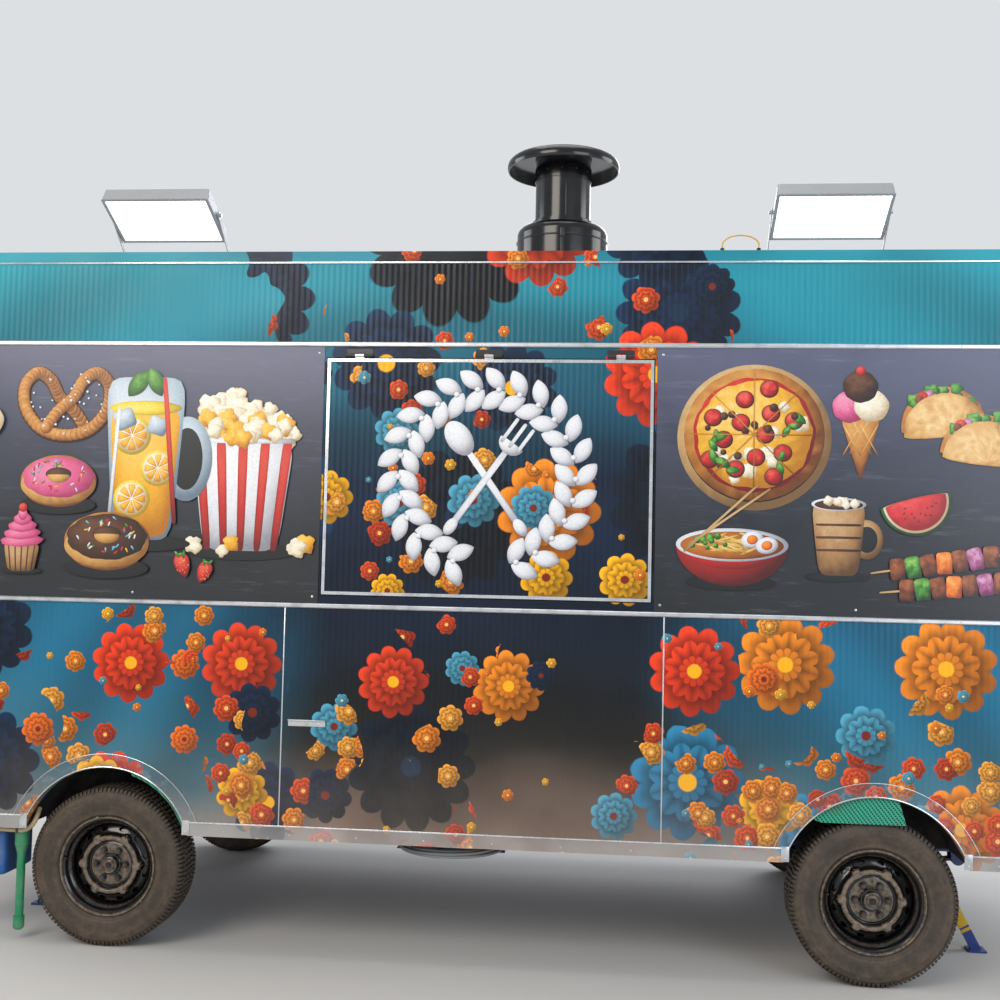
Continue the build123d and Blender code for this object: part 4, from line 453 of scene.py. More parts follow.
def make_finishes(scene):
    """Every finish of the trailer, under the name of what it is made of."""
    look = scene.trailer_look
    # printed vinyl film on the walls, dusted pale, and a fresher print on the hatch
    printed_wrap("printed_vinyl_wrap", 0.55)
    printed_wrap("printed_vinyl_hatch_wrap", 1.0)
    # white gelcoat over insulated panel: soft sheen, faint rain marks
    moulded("white_gelcoat", "#D2D5D5", 0.38, pale=0.3, grain=90.0)
    # mill-finish aluminium angle and rail, drawn along the body
    sheet_metal("drawn_aluminium", "#D9DBDD", 0.24, 0)
    # polished aluminium of the hatch frame: brighter and sharper in its shine
    sheet_metal("polished_aluminium_frame", "#E9EBED", 0.14, 2)
    # matt chalkboard film with wiped chalk, and food printed on film with a thin gloss
    slate_board("chalkboard_film")
    printed_picture("printed_food_film")
    # flare of crinkled sheet under the same film, a little greyer all over and lighter on its crease ridges as
    # painted highlight
    printed_wrap("wrapped_flare_sheet", 0.55, crinkle=0.9)
    # sill angle: film over aluminium, worn through in patches
    printed_wrap("wrapped_aluminium_sill", 0.55, pale=0.42)
    # woven shade net, its open gaps painted dark as shade
    netting("green_shade_net")
    # chassis enamel under road dust, and black spring steel with more of it
    enamel("blue_chassis_enamel", look.chassis_colour, 0.32, 0.75)
    enamel("spring_steel_black", "#16171A", 0.4, 0.9)
    # tyre rubber and gloss black wheel steel, dust where it lies in their hollows
    road_rubber("dusty_tyre_rubber")
    dusty_wheel("gloss_black_wheel_steel")
    # powder-coated aluminium die casting of the lamps
    enamel("lamp_powder_coat", look.lamp_colour, 0.46, 0.3)
    # frosted lamp glass, lit from behind
    lit_glass("lit_lamp_glass", look.lamp_glow)
    # black stove enamel of the exhaust: deep gloss, a little soot
    enamel("stove_enamel_black", look.exhaust_colour, 0.14, 0.4, "#3E3832")
    # cable sheaths, nylon and pipes: one dull moulded skin each in its own colour
    moulded("yellow_cable_sheath", "#D8A21E", 0.45)
    moulded("black_nylon_fitting", "#17181A", 0.42)
    moulded("green_drain_pipe", look.pipe_colour, 0.38, pale=0.2)
    moulded("beige_water_hose", "#B8A27E", 0.5, pale=0.3)
    moulded("blue_tank_polyethylene", "#1D5FA8", 0.45, pale=0.2, grain=160.0)
    moulded("grey_rubber_lead", "#8D9092", 0.5, pale=0.25)
    # clear red acrylic of the tail lamps, nearly free of bloom
    moulded("red_lamp_lens", "#B0100C", 0.12, pale=0.05)
    # chromed steel of the door handle: the sharpest shine of all
    sheet_metal("chromed_handle", "#E6E8EA", 0.08, 2)
    # brown phenolic film of the floor, pressed with a mesh print
    phenolic_floor("phenolic_floor")
    # reflective marker tape wrapped round the legs
    moulded("yellow_marker_tape", look.tape_colour, 0.3)
    # zinc-plated screws and rivets
    sheet_metal("zinc_fastener", "#C9CACB", 0.22, 0)
    # black underseal sprayed in the wheel boxes
    moulded("black_underseal", "#17181A", 0.75, pale=0.1, grain=120.0)
    # powder-coated hinges, lost against the dark hatch, and the exhaust's duller flange
    enamel("black_hinge_enamel", "#1A1D22", 0.4, 0.3)
    enamel("exhaust_flange_enamel", "#232427", 0.4, 0.6, "#3E3832")


def paint(node, finish):
    """Gives a CAD node its finish in every slot."""
    held = frame["nodes"][node]
    for slot in held.material_slots:
        slot.material = FINISH[finish]


# Modelling by hand, in steps

def bake():
    """Puts the place, turn and scale of the selected piece into its mesh."""
    bpy.ops.object.transform_apply(location=True, rotation=True, scale=True)


def leave_edit():
    """From edit mode back to object mode."""
    bpy.ops.object.mode_set(mode="OBJECT")


def pull(way):
    """Extrudes what is selected."""
    bpy.ops.mesh.extrude_region_move(TRANSFORM_OT_translate={"value": way})


def clear():
    """Back to object mode with nothing selected."""
    if bpy.context.mode != "OBJECT":
        leave_edit()
    bpy.ops.object.select_all(action="DESELECT")


def pick(piece):
    """Only this piece selected and active."""
    clear()
    piece.select_set(True)
    bpy.context.view_layer.objects.active = piece
    return piece


def edit(piece, kind="VERT", all_of_it=True):
    """Edit mode on the piece, with everything or nothing selected."""
    pick(piece)
    bpy.ops.object.mode_set(mode="EDIT")
    bpy.ops.mesh.select_mode(type=kind)
    bpy.ops.mesh.select_all(action="SELECT" if all_of_it else "DESELECT")


def choose(piece, kind, test):
    """Selects the vertices or faces for which the test holds, in edit mode."""
    edit(piece, "FACE" if kind == "faces" else "VERT", False)
    work = bmesh.from_edit_mesh(piece.data)
    found = 0
    for item in (work.faces if kind == "faces" else work.verts):
        if test(item):
            item.select_set(True)
            found += 1
    if not found:
        raise RuntimeError(f"{piece.name}: nothing to select")
    bmesh.update_edit_mesh(piece.data)


def added(name):
    """The primitive just added, under its name."""
    piece = bpy.context.object
    piece.name = name
    piece.data.name = name
    return piece


def apply(piece, kind, **settings):
    """One modifier with its settings, applied."""
    pick(piece)
    made = piece.modifiers.new(kind.title(), kind)
    for key, value in settings.items():
        setattr(made, key, value)
    bpy.ops.object.modifier_apply(modifier=made.name)
    return piece


def tidy_mesh(piece, gap=0.00002):
    """Merges doubles and turns all faces outwards."""
    edit(piece)
    bpy.ops.mesh.remove_doubles(threshold=gap)
    bpy.ops.mesh.normals_make_consistent(inside=False)
    leave_edit()
    return piece


def settle(piece, body, finish, smooth=32):
    """Puts the place into the mesh, shades it, finishes it and lets it ride on its body."""
    pick(piece)
    bake()
    bpy.ops.object.shade_smooth_by_angle(angle=math.radians(smooth))
    piece.data.materials.clear()
    piece.data.materials.append(FINISH[finish])
    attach(piece, body)
    return piece


def block(name, low, high, bevel=0.0015):
    """A box between two corners with its edges eased."""
    clear()
    size = [high[i] - low[i] for i in range(3)]
    bpy.ops.mesh.primitive_cube_add(size=1, location=[(high[i] + low[i]) / 2 for i in range(3)], scale=size)
    piece = added(name)
    bake()
    if bevel:
        edit(piece, "EDGE")
        bpy.ops.mesh.bevel(offset=bevel, segments=2, affect="EDGES")
        leave_edit()
    return piece


def drawn(name, points, fill=False):
    """A line of edges through the points, extruded from one to the next, and filled if asked."""
    clear()
    bpy.ops.mesh.primitive_plane_add(size=0.01)
    piece = added(name)
    edit(piece)
    bpy.ops.mesh.merge(type="CENTER")
    bpy.ops.transform.translate(value=points[0])
    for here, there in zip(points, points[1:]):
        pull([b - a for a, b in zip(here, there)])
    if fill:
        bpy.ops.mesh.select_all(action="SELECT")
        bpy.ops.mesh.edge_face_add()
    leave_edit()
    return piece


def lathe(name, profile, centre, out, steps=96, closed=False):
    """A piece turned about the centre's Y axis, from pairs of radius and reach outwards; out is -1 or 1."""
    points = [(centre[0] + r, centre[1] + out * a, centre[2]) for r, a in profile]
    if closed:
        points.append(points[0])
    piece = drawn(name, points)
    edit(piece)
    bpy.ops.mesh.spin(steps=steps, angle=2 * math.pi, center=centre, axis=(0, 1, 0))
    return tidy_mesh(piece)


def upright_lathe(name, profile, centre, steps=64, closed=False):
    """A turned piece about the upright through the centre: the profile is pairs of radius and height."""
    points = [(centre[0] + r, centre[1], h) for r, h in profile]
    if closed:
        points.append(points[0])
    piece = drawn(name, points)
    edit(piece)
    bpy.ops.mesh.spin(steps=steps, angle=2 * math.pi, center=(centre[0], centre[1], 0), axis=(0, 0, 1))
    return tidy_mesh(piece)


def extruded(name, outline, way):
    """A bar: the outline filled and drawn along the way."""
    piece = drawn(name, outline, fill=True)
    edit(piece)
    pull(way)
    return tidy_mesh(piece)


def ring_of(piece, count, centre, axis=(0, 1, 0)):
    """Repeats a piece round an axis."""
    edit(piece)
    bpy.ops.mesh.spin(steps=count, angle=2 * math.pi, center=centre, axis=axis, dupli=True)
    return tidy_mesh(piece)


def row_of(piece, count, step):
    """Repeats a piece along a line."""
    return apply(piece, "ARRAY", count=count, use_relative_offset=False, use_constant_offset=True,
                 constant_offset_displace=step)


def joined(name, pieces):
    """Several pieces made one."""
    clear()
    for piece in pieces:
        piece.select_set(True)
    bpy.context.view_layer.objects.active = pieces[0]
    bpy.ops.object.join()
    return added(name)


def copied(piece, name, move=(0, 0, 0), turn=0.0, about=(0, 0, 0)):
    """A copy with its own mesh, turned about an upright and moved."""
    made = piece.copy()
    made.data = piece.data.copy()
    made.name = made.data.name = name
    made.parent = None
    made.matrix_world = Matrix.Identity(4)
    bpy.context.collection.objects.link(made)
    pivot = Matrix.Translation(about)
    made.data.transform(Matrix.Translation(move) @ pivot @ Matrix.Rotation(turn, 4, "Z") @ pivot.inverted())
    return made


def rivets(start_at, step, count, facing, radius=0.0045, rise=0.0018):
    """A row of domed rivets, modelled once: the facing is the way they stand out."""
    clear()
    turn = Vector((0, 0, 1)).rotation_difference(Vector(facing)).to_euler()
    bpy.ops.mesh.primitive_uv_sphere_add(segments=10, ring_count=6, radius=1, location=start_at, rotation=turn,
                                         scale=(radius, radius, rise))
    piece = added("rivets")
    bake()
    return row_of(piece, count, step) if count > 1 else piece


def cut_away(piece, cutters):
    """Cuts other shapes out of a piece and removes them."""
    for cutter in cutters:
        apply(piece, "BOOLEAN", operation="DIFFERENCE", solver="EXACT", object=cutter)
        bpy.data.objects.remove(cutter)
    return piece


def arch_cutters(y, radius, depth=0.12):
    """Drums that cut the wheel arches out of a side sheet."""
    made = []
    for x in AXLE_X:
        clear()
        bpy.ops.mesh.primitive_cylinder_add(vertices=128, radius=radius, depth=depth, location=(x, y, ARCH_Z),
                                            rotation=(math.pi / 2, 0, 0))
        made.append(added("arch_cutter"))
    return made


# Pieces

def ribbed_sheet(name, look, width, low, high, middle, turn, cutters=()):
    """Ribbed cladding: one rib repeated over the width, trimmed, given its gauge and turned to its wall."""
    clear()
    pitch = look.rib_pitch
    bpy.ops.mesh.primitive_grid_add(x_subdivisions=6, y_subdivisions=1, size=1, rotation=(math.pi / 2, 0, 0))
    piece = added(name)
    bake()
    edit(piece)
    bpy.ops.transform.resize(value=(pitch, 1, high - low), center_override=(0, 0, 0))
    bpy.ops.transform.translate(value=(0, -0.0007, (high + low) / 2))
    choose(piece, "verts", lambda v: abs(v.co.x) < pitch * 0.3)
    bpy.ops.transform.translate(value=(0, -look.rib_depth, 0))
    bpy.ops.transform.resize(value=(0.82, 1, 1), center_override=(0, 0, 0))
    leave_edit()
    count = math.ceil(width / pitch) + 1
    apply(piece, "ARRAY", count=count, use_relative_offset=False, use_constant_offset=True,
          constant_offset_displace=(pitch, 0, 0),
          use_merge_vertices=True, merge_threshold=0.0001)
    edit(piece)
    bpy.ops.transform.translate(value=(-(count - 1) * pitch / 2, 0, 0))
    for side in (-1, 1):
        bpy.ops.mesh.select_all(action="SELECT")
        bpy.ops.mesh.bisect(plane_co=(side * width / 2, 0, 0), plane_no=(side, 0, 0), clear_outer=True)
    leave_edit()
    apply(piece, "SOLIDIFY", thickness=0.0006, offset=-1)
    pivot = Matrix.Translation((middle[0], middle[1], 0)) @ Matrix.Rotation(turn, 4, "Z")
    piece.data.transform(pivot)
    return cut_away(piece, cutters)


class TRAILER_OT_finishes(bpy.types.Operator):
    """Makes every finish and paints the frame's own nodes"""
    bl_idname = "trailer.finishes"
    bl_label = "Finishes"

    def execute(self, context):
        make_finishes(context.scene)
        wanted = {
            "printed_vinyl_wrap": "wall_service wall_far wall_front wall_rear rear_door roof_trim",
            "printed_vinyl_hatch_wrap": "hatch_panel",
            "white_gelcoat": "roof",
            "phenolic_floor": "floor",
            "drawn_aluminium": "corner_trims side_rails door_hinges",
            "wrapped_aluminium_sill": "sill_trims",
            "polished_aluminium_frame": "hatch_frame",
            "black_hinge_enamel": "hatch_hinges",
            "chromed_handle": "door_handle",
            "chalkboard_film": "menu_board_front menu_board_rear",
            "wrapped_flare_sheet": "arch_flares",
            "black_underseal": "wheel_boxes",
            "blue_chassis_enamel": "chassis_frame front_axle rear_axle knuckle_service knuckle_far tie_rod "
                                   "steering_tongue drawbar tank_straps leg_front_service leg_front_far "
                                   "leg_rear_service leg_rear_far",
            "spring_steel_black": "leaf_springs",
            "lamp_powder_coat": "floodlight_housings floodlight_brackets",
            "lit_lamp_glass": "floodlight_glasses",
            "stove_enamel_black": "exhaust_drum exhaust_duct exhaust_cap",
            "yellow_cable_sheath": "lamp_cable",
            "black_nylon_fitting": "cable_glands lead_gland lead_plug",
            "green_drain_pipe": "drain_pipe",
            "beige_water_hose": "water_hose",
            "blue_tank_polyethylene": "water_tank",
            "red_lamp_lens": "tail_lamps",
            "grey_rubber_lead": "lead_tail lead_coil",
            "dusty_tyre_rubber": "tyre_front_service tyre_front_far tyre_rear_service tyre_rear_far",
            "gloss_black_wheel_steel": "wheel_front_service wheel_front_far wheel_rear_service wheel_rear_far",
        }
        for finish, nodes in wanted.items():
            for node in nodes.split():
                paint(node, finish)
        return {"FINISHED"}


class TRAILER_OT_lead(bpy.types.Operator):
    """Lays the mains lead from its gland into the coil on the hanger"""
    bl_idname = "trailer.lead"
    bl_label = "Mains lead"

    def execute(self, context):
        low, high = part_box("lead_coil")
        middle = ((low[0] + high[0]) / 2, (low[1] + high[1]) / 2)
        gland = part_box("lead_gland")
        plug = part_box("lead_plug")
        leave = ((gland[0][0] + gland[1][0]) / 2, (gland[0][1] + gland[1][1]) / 2, gland[0][2])
        points = [leave, (leave[0], leave[1], leave[2] - 0.030),
                  (leave[0] + 0.022, leave[1] - 0.018, leave[2] - 0.056),
                  (leave[0] + 0.030, leave[1] - 0.040, leave[2] - 0.080)]
        # loose turns of two layers: outwards on top, back inwards below, then up inside to the plug
        turns = [(0.209, 0.4765), (0.223, 0.4768), (0.240, 0.4755), (0.2435, 0.4545), (0.229, 0.4525),
                 (0.214, 0.4530), (0.1985, 0.4535)]
        first = math.degrees(math.atan2(points[-1][1] - middle[1], points[-1][0] - middle[0])) - 22
        per = 16
        total = 5 * per + 5
        for i in range(total + 1):
            part = i / total * (len(turns) - 1)
            k = min(int(part), len(turns) - 2)
            blend = part - k
            r = turns[k][0] * (1 - blend) + turns[k + 1][0] * blend
            z = turns[k][1] * (1 - blend) + turns[k + 1][1] * blend
            wander = 0.0016 * math.sin(i * 0.83) * (1 - abs(2 * i / total - 1))
            angle = math.radians(first - i * 360 / per)
            points.append((middle[0] + (r + wander) * math.cos(angle),
                           middle[1] + (r + wander) * math.sin(angle), z))
        plug_y = (plug[0][1] + plug[1][1]) / 2
        plug_z = (plug[0][2] + plug[1][2]) / 2
        last = math.atan2(points[-1][1] - middle[1], points[-1][0] - middle[0])
        for step, r, z in ((16, 0.188, 0.461), (34, 0.180, 0.478), (54, 0.181, 0.496),
                           (74, 0.196, plug_z - 0.003)):
            angle = last - math.radians(step)
            points.append((middle[0] + r * math.cos(angle), middle[1] + r * math.sin(angle), z))
        points.append((plug[1][0] + 0.075, plug_y + 0.006, plug_z))
        points.append((plug[1][0] + 0.035, plug_y, plug_z))
        points.append((plug[1][0] + 0.002, plug_y, plug_z))
        curve = bpy.data.curves.new("mains_lead", "CURVE")
        curve.dimensions = "3D"
        curve.bevel_depth = 0.007
        curve.bevel_resolution = 3
        curve.use_fill_caps = True
        curve.resolution_u = 4
        line = curve.splines.new("NURBS")
        line.points.add(len(points) - 1)
        for point, at in zip(line.points, points):
            point.co = (*at, 1)
        line.order_u = 3
        line.use_endpoint_u = True
        lead = bpy.data.objects.new("mains_lead", curve)
        context.collection.objects.link(lead)
        curve.materials.append(FINISH["grey_rubber_lead"])
        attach(lead, "trailer")
        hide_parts("lead_tail", "lead_coil")
        return {"FINISHED"}


class TRAILER_OT_panels(bpy.types.Operator):
    """Hangs the ribbed cladding on every wall, beside and over the rear door, and on the hatch"""
    bl_idname = "trailer.panels"
    bl_label = "Ribbed cladding"

    def execute(self, context):
        look = context.scene.trailer_look
        length = REAR_X - FRONT_X - 2 * CORNER_LEG - 0.002
        depth = FAR_Y - SERVICE_Y - 2 * CORNER_LEG - 0.002
        wrap = "printed_vinyl_wrap"
        service = (BODY_X, SERVICE_Y)
        settle(ribbed_sheet("cladding_lower_service", look, length, SILL_TOP, RAIL_LOW[2], service, 0,
                            arch_cutters(SERVICE_Y, FLARE_R)), "trailer", wrap)
        settle(ribbed_sheet("cladding_header_service", look, length, RAIL_HIGH[2], EAVES, service, 0),
               "trailer", wrap)
        settle(ribbed_sheet("cladding_far", look, length, SILL_TOP, EAVES, (BODY_X, FAR_Y), math.pi,
                            arch_cutters(FAR_Y, FLARE_R)), "trailer", wrap)
        settle(ribbed_sheet("cladding_front", look, depth, SILL_TOP, EAVES, (FRONT_X, BODY_Y), -math.pi / 2),
               "trailer", wrap)
        door_low, door_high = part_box("rear_door")
        for name, low, high in (("cladding_rear_service", SERVICE_Y + CORNER_LEG, door_low[1] - 0.030),
                                ("cladding_rear_far", door_high[1] + 0.030, FAR_Y - CORNER_LEG)):
            settle(ribbed_sheet(name, look, high - low, SILL_TOP + 0.085, EAVES, (REAR_X, (low + high) / 2),
                                math.pi / 2), "trailer", wrap)
        settle(ribbed_sheet("cladding_rear_over_door", look, door_high[1] - door_low[1] + 0.06,
                            door_high[2] + 0.030, EAVES,
                            (REAR_X, (door_low[1] + door_high[1]) / 2), math.pi / 2), "trailer", wrap)
        panel_low, panel_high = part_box("hatch_panel")
        settle(ribbed_sheet("cladding_hatch", look, panel_high[0] - panel_low[0] - 0.002, panel_low[2] + 0.001,
                            panel_high[2] - 0.001,
                            ((panel_low[0] + panel_high[0]) / 2, panel_low[1]), 0), "hatch",
               "printed_vinyl_hatch_wrap")
        return {"FINISHED"}


class TRAILER_OT_tyres(bpy.types.Operator):
    """Turns the tyre, cuts its tread and copies it to the four wheels"""
    bl_idname = "trailer.tyres"
    bl_label = "Tyres"

    def execute(self, context):
        look = context.scene.trailer_look
        centre = (AXLE_X[0], WHEEL_Y[0], AXLE_Z)
        # half of the section as radius and reach: bead, rim guard, letter band, shoulder and tread
        half = [(0.2245, 0.0900), (0.2300, 0.0965), (0.2360, 0.0992), (0.2395, 0.0980), (0.2440, 0.0996),
                (0.2500, 0.1012), (0.2510, 0.1022), (0.2522, 0.1016), (0.2640, 0.1042), (0.2650, 0.1051),
                (0.2662, 0.1045), (0.2830, 0.1064), (0.2980, 0.1070), (0.3060, 0.1068), (0.3068, 0.1075),
                (0.3082, 0.1066), (0.3180, 0.1052), (0.3250, 0.1034), (0.3330, 0.0985), (0.3390, 0.0920),
                (0.3432, 0.0840), (0.3450, 0.0600), (0.3452, 0.0300), (0.3452, 0.0)]
        outer = half + [(r, -a) for r, a in reversed(half[:-1])]
        inner = [(0.2240, -0.0850), (0.2600, -0.0950), (0.3150, -0.0930), (0.3350, -0.0700), (0.3370, 0.0),
                 (0.3350, 0.0700), (0.3150, 0.0930), (0.2600, 0.0950), (0.2240, 0.0850)]
        tyre = lathe("tyre_body", outer + inner, centre, -1, look.round_steps, closed=True)
        lugs = []
        # shoulder lugs wrap the edge of the tread and run down the wall
        flank = [(0.3440, 0.0640), (0.3534, 0.0655), (0.3531, 0.0860), (0.3502, 0.0940), (0.3440, 0.0985),
                 (0.3375, 0.1008), (0.3340, 0.1012), (0.3340, 0.0980), (0.3420, 0.0880)]
        for side in (-1, 1):
            lug = extruded("lug", [(centre[0] + r, centre[1] + side * a, centre[2] - 0.0064) for r, a in flank],
                           (0, 0, 0.0128))
            lugs.append(ring_of(lug, look.lug_count, centre))
        for row, (at, wide, count) in enumerate(((0.0, 0.024, 0.8), (0.034, 0.026, 0.8), (-0.034, 0.026, 0.8),
                                                 (0.0565, 0.010, 1.0), (-0.0565, 0.010, 1.0))):
            clear()
            number = round(look.lug_count * count)
            long = 2 * math.pi * TYRE_R / number * (0.70 if abs(at) < 0.05 else 0.8)
            bpy.ops.mesh.primitive_cube_add(size=1, location=(centre[0] + 0.3480, centre[1] + at, centre[2]),
                                            scale=(0.0105, wide, long))
            cube = added("block")
            bake()
            choose(cube, "verts", lambda v: v.co.x > centre[0] + 0.3480)
            bpy.ops.transform.resize(value=(1, 0.88, 0.86),
                                     center_override=(centre[0], centre[1] + at, centre[2]))
            choose(cube, "verts", lambda v: v.co.y > centre[1] + at)
            bpy.ops.transform.translate(value=(0, 0, 0.0045 * (1 if row % 2 else -1)))
            leave_edit()
            lugs.append(ring_of(cube, number, centre))
        tyre = joined("tyre_front_service_tread", [tyre] + lugs)
        # how much dust stays on: the walls hold it, the grooves and the letter band less
        held = tyre.data.attributes.new("dust", "FLOAT", "POINT")
        values = []
        for v in tyre.data.vertices:
            r = math.hypot(v.co.x - centre[0], v.co.z - centre[2])
            wall = 0.80 if r < 0.337 else 0.62
            if 0.3425 < r < 0.3475:
                wall = 0.22
            if 0.252 < r < 0.284:
                wall = 0.60
            if r < 0.232:
                wall = 0.45
            values.append(wall if abs(v.co.y - centre[1]) > 0.08 or r > 0.350 else wall * 0.6)
        held.data.foreach_set("value", values)
        for end, x in zip(("front", "rear"), AXLE_X):
            for side, y in zip(("service", "far"), WHEEL_Y):
                name = f"tyre_{end}_{side}_tread"
                piece = tyre if (end, side) == ("front", "service") else copied(
                    tyre, name, (x - AXLE_X[0], y - WHEEL_Y[0], 0), math.pi if side == "far" else 0.0, centre)
                settle(piece, f"wheel_{end}_{side}", "dusty_tyre_rubber", 28)
                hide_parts(f"tyre_{end}_{side}")
        return {"FINISHED"}


class TRAILER_OT_wheels(bpy.types.Operator):
    """Turns the steel wheel, presses its lobes, bores its vents and copies it to the four hubs"""
    bl_idname = "trailer.wheels"
    bl_label = "Steel wheels"

    def execute(self, context):
        look = context.scene.trailer_look
        centre = (AXLE_X[0], WHEEL_Y[0], AXLE_Z)
        out = -1
        # flange, bead seat and well of the rim, front to back
        rim = lathe("rim", [(0.2178, 0.0830), (0.2205, 0.0862), (0.2212, 0.0892), (0.2195, 0.0915),
                            (0.2165, 0.0912), (0.2140, 0.0885), (0.2110, 0.0810), (0.2060, 0.0770),
                            (0.2035, 0.0740), (0.2020, 0.0600), (0.1985, 0.0540), (0.1950, 0.0500),
                            (0.1890, 0.0455), (0.1850, 0.0380), (0.1835, 0.0200), (0.1835, -0.0280),
                            (0.1900, -0.0420), (0.2020, -0.0560), (0.2035, -0.0740), (0.2110, -0.0810),
                            (0.2160, -0.0890), (0.2195, -0.0890)], centre, out, look.round_steps)
        apply(rim, "SOLIDIFY", thickness=0.0035, offset=0)
        # the disc from its hub hole over the bolt face and the ridge down to the rim
        disc = lathe("disc", [(0.0400, 0.0345), (0.0540, 0.0348), (0.0580, 0.0370), (0.0740, 0.0382),
                              (0.0900, 0.0384), (0.0940, 0.0366), (0.0985, 0.0352), (0.1035, 0.0366),
                              (0.1070, 0.0440), (0.1100, 0.0530), (0.1130, 0.0590), (0.1170, 0.0616),
                              (0.1210, 0.0620), (0.1245, 0.0606), (0.1275, 0.0570), (0.1300, 0.0510),
                              (0.1325, 0.0430), (0.1360, 0.0370), (0.1400, 0.0330), (0.1440, 0.0305),
                              (0.1480, 0.0285), (0.1530, 0.0262), (0.1650, 0.0215), (0.1740, 0.0150),
                              (0.1800, 0.0060)], centre, out, 144)
        # round lobes pressed out of the ridge
        choose(disc, "verts", lambda v: 0.100 < math.hypot(v.co.x - centre[0], v.co.z - centre[2]) < 0.16)
        work = bmesh.from_edit_mesh(disc.data)
        spots = [(0.1265 * math.cos(2 * math.pi * k / look.lobe_count),
                  0.1265 * math.sin(2 * math.pi * k / look.lobe_count)) for k in range(look.lobe_count)]
        for v in work.verts:
            if v.select:
                away = min(math.hypot(v.co.x - centre[0] - sx, v.co.z - centre[2] - sz) for sx, sz in spots)
                rise = min(max((0.0235 - away) / 0.0075, 0.0), 1.0)
                rise = rise * rise * (3 - 2 * rise)
                reach = (v.co.y - centre[1]) * out
                v.co.y = centre[1] + out * (reach + max(0.0, 0.0612 - reach) * rise)
        bmesh.update_edit_mesh(disc.data)
        leave_edit()
        apply(disc, "SOLIDIFY", thickness=0.0045, offset=0)
        clear()
        bpy.ops.mesh.primitive_cylinder_add(vertices=20, radius=0.0115, depth=0.09,
                                            location=(centre[0] + 0.1585, centre[1] + out * 0.02, centre[2]),
                                            rotation=(math.pi / 2, 0, 0))
        bore = added("bore")
        bake()
        edit(bore)
        bpy.ops.transform.resize(value=(0.8, 1, 1.45),
                                 center_override=(centre[0] + 0.1585, centre[1], centre[2]))
        turn = math.radians(180 / look.vent_count)
        leave_edit()
        bore.data.transform(Matrix.Translation(centre) @ Matrix.Rotation(turn, 4, "Y")
                            @ Matrix.Translation([-c for c in centre]))
        cut_away(disc, [ring_of(bore, look.vent_count, centre)])
        drum = lathe("drum", [(0.1180, 0.0165), (0.1300, 0.0145), (0.1480, 0.0085), (0.1650, 0.0000),
                              (0.1832, -0.0090)], centre, out, 64)
        apply(drum, "SOLIDIFY", thickness=0.0020, offset=0)
        seats = extruded("seats", [(centre[0] + 0.070 + 0.0165 * math.cos(t * math.pi / 8),
                                    centre[1] + out * 0.0375, centre[2] + 0.0165 * math.sin(t * math.pi / 8))
                                   for t in range(16)], (0, out * 0.004, 0))
        ring_of(seats, 6, centre)
        clear()
        bpy.ops.mesh.primitive_cylinder_add(vertices=6, radius=0.0118, depth=0.018,
                                            location=(centre[0] + 0.070, centre[1] + out * 0.0500, centre[2]),
                                            rotation=(math.pi / 2, 0, 0))
        nut = added("nut")
        bake()
        choose(nut, "faces", lambda f: f.normal.y * out > 0.9)
        bpy.ops.mesh.inset(thickness=0.0025)
        pull((0, out * 0.004, 0))
        bpy.ops.mesh.inset(thickness=0.003)
        pull((0, out * 0.0012, 0))
        leave_edit()
        ring_of(nut, 6, centre)
        hub = lathe("hub", [(0.0475, 0.0370), (0.0475, 0.0450), (0.0455, 0.0470), (0.0400, 0.0475),
                            (0.0385, 0.0520), (0.0385, 0.0640), (0.0370, 0.0680), (0.0330, 0.0700),
                            (0.0305, 0.0690), (0.0290, 0.0655), (0.0250, 0.0650), (0.0235, 0.0690),
                            (0.0200, 0.0712), (0.0150, 0.0715), (0.0130, 0.0685), (0.0075, 0.0680),
                            (0.0060, 0.0705), (0.0005, 0.0712)], centre, out, 40)
        valve = lathe("valve", [(0.0060, 0.0), (0.0060, 0.0200), (0.0035, 0.0220), (0.0035, 0.0420),
                                (0.0045, 0.0425), (0.0045, 0.0560), (0.0005, 0.0570)],
                      (centre[0] - 0.1330 * 1.44, centre[1] + out * 0.040, centre[2] + 0.028), out, 12)
        wheel = joined("wheel_front_service_pressed", [rim, disc, drum, seats, nut, hub, valve])
        held = wheel.data.attributes.new("dust", "FLOAT", "POINT")
        # dust on the flange, the well's edge, the ridge and the bolt face, little round the nuts
        values = []
        for v in wheel.data.vertices:
            r = math.hypot(v.co.x - centre[0], v.co.z - centre[2])
            reach = (v.co.y - centre[1]) * out
            nut_turn = math.atan2(v.co.z - centre[2], v.co.x - centre[0])
            nut_at = abs((nut_turn * 3 / math.pi + 0.5) % 1 - 0.5) * math.pi / 3 * r
            value = 0.03
            if r > 0.2105:
                value = 0.85 if reach > 0.078 else 0.35
            elif 0.1835 <= r < 0.1900:
                value = 0.30
            elif 0.108 < r < 0.150 and reach > 0.0560:
                value = 0.90
            elif 0.048 < r < 0.0925:
                by_a_nut = math.hypot(r - 0.070, nut_at) < 0.0185
                value = (0.05 if by_a_nut else 0.80) if reach < 0.046 else 0.30
            elif 0.014 < r < 0.036 and reach > 0.055:
                value = 0.60
            values.append(value)
        held.data.foreach_set("value", values)
        for end, x in zip(("front", "rear"), AXLE_X):
            for side, y in zip(("service", "far"), WHEEL_Y):
                piece = wheel if (end, side) == ("front", "service") else copied(
                    wheel, f"wheel_{end}_{side}_pressed", (x - AXLE_X[0], y - WHEEL_Y[0], 0),
                    math.pi if side == "far" else 0.0, centre)
                settle(piece, f"wheel_{end}_{side}", "gloss_black_wheel_steel", 30)
                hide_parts(f"wheel_{end}_{side}")
        return {"FINISHED"}


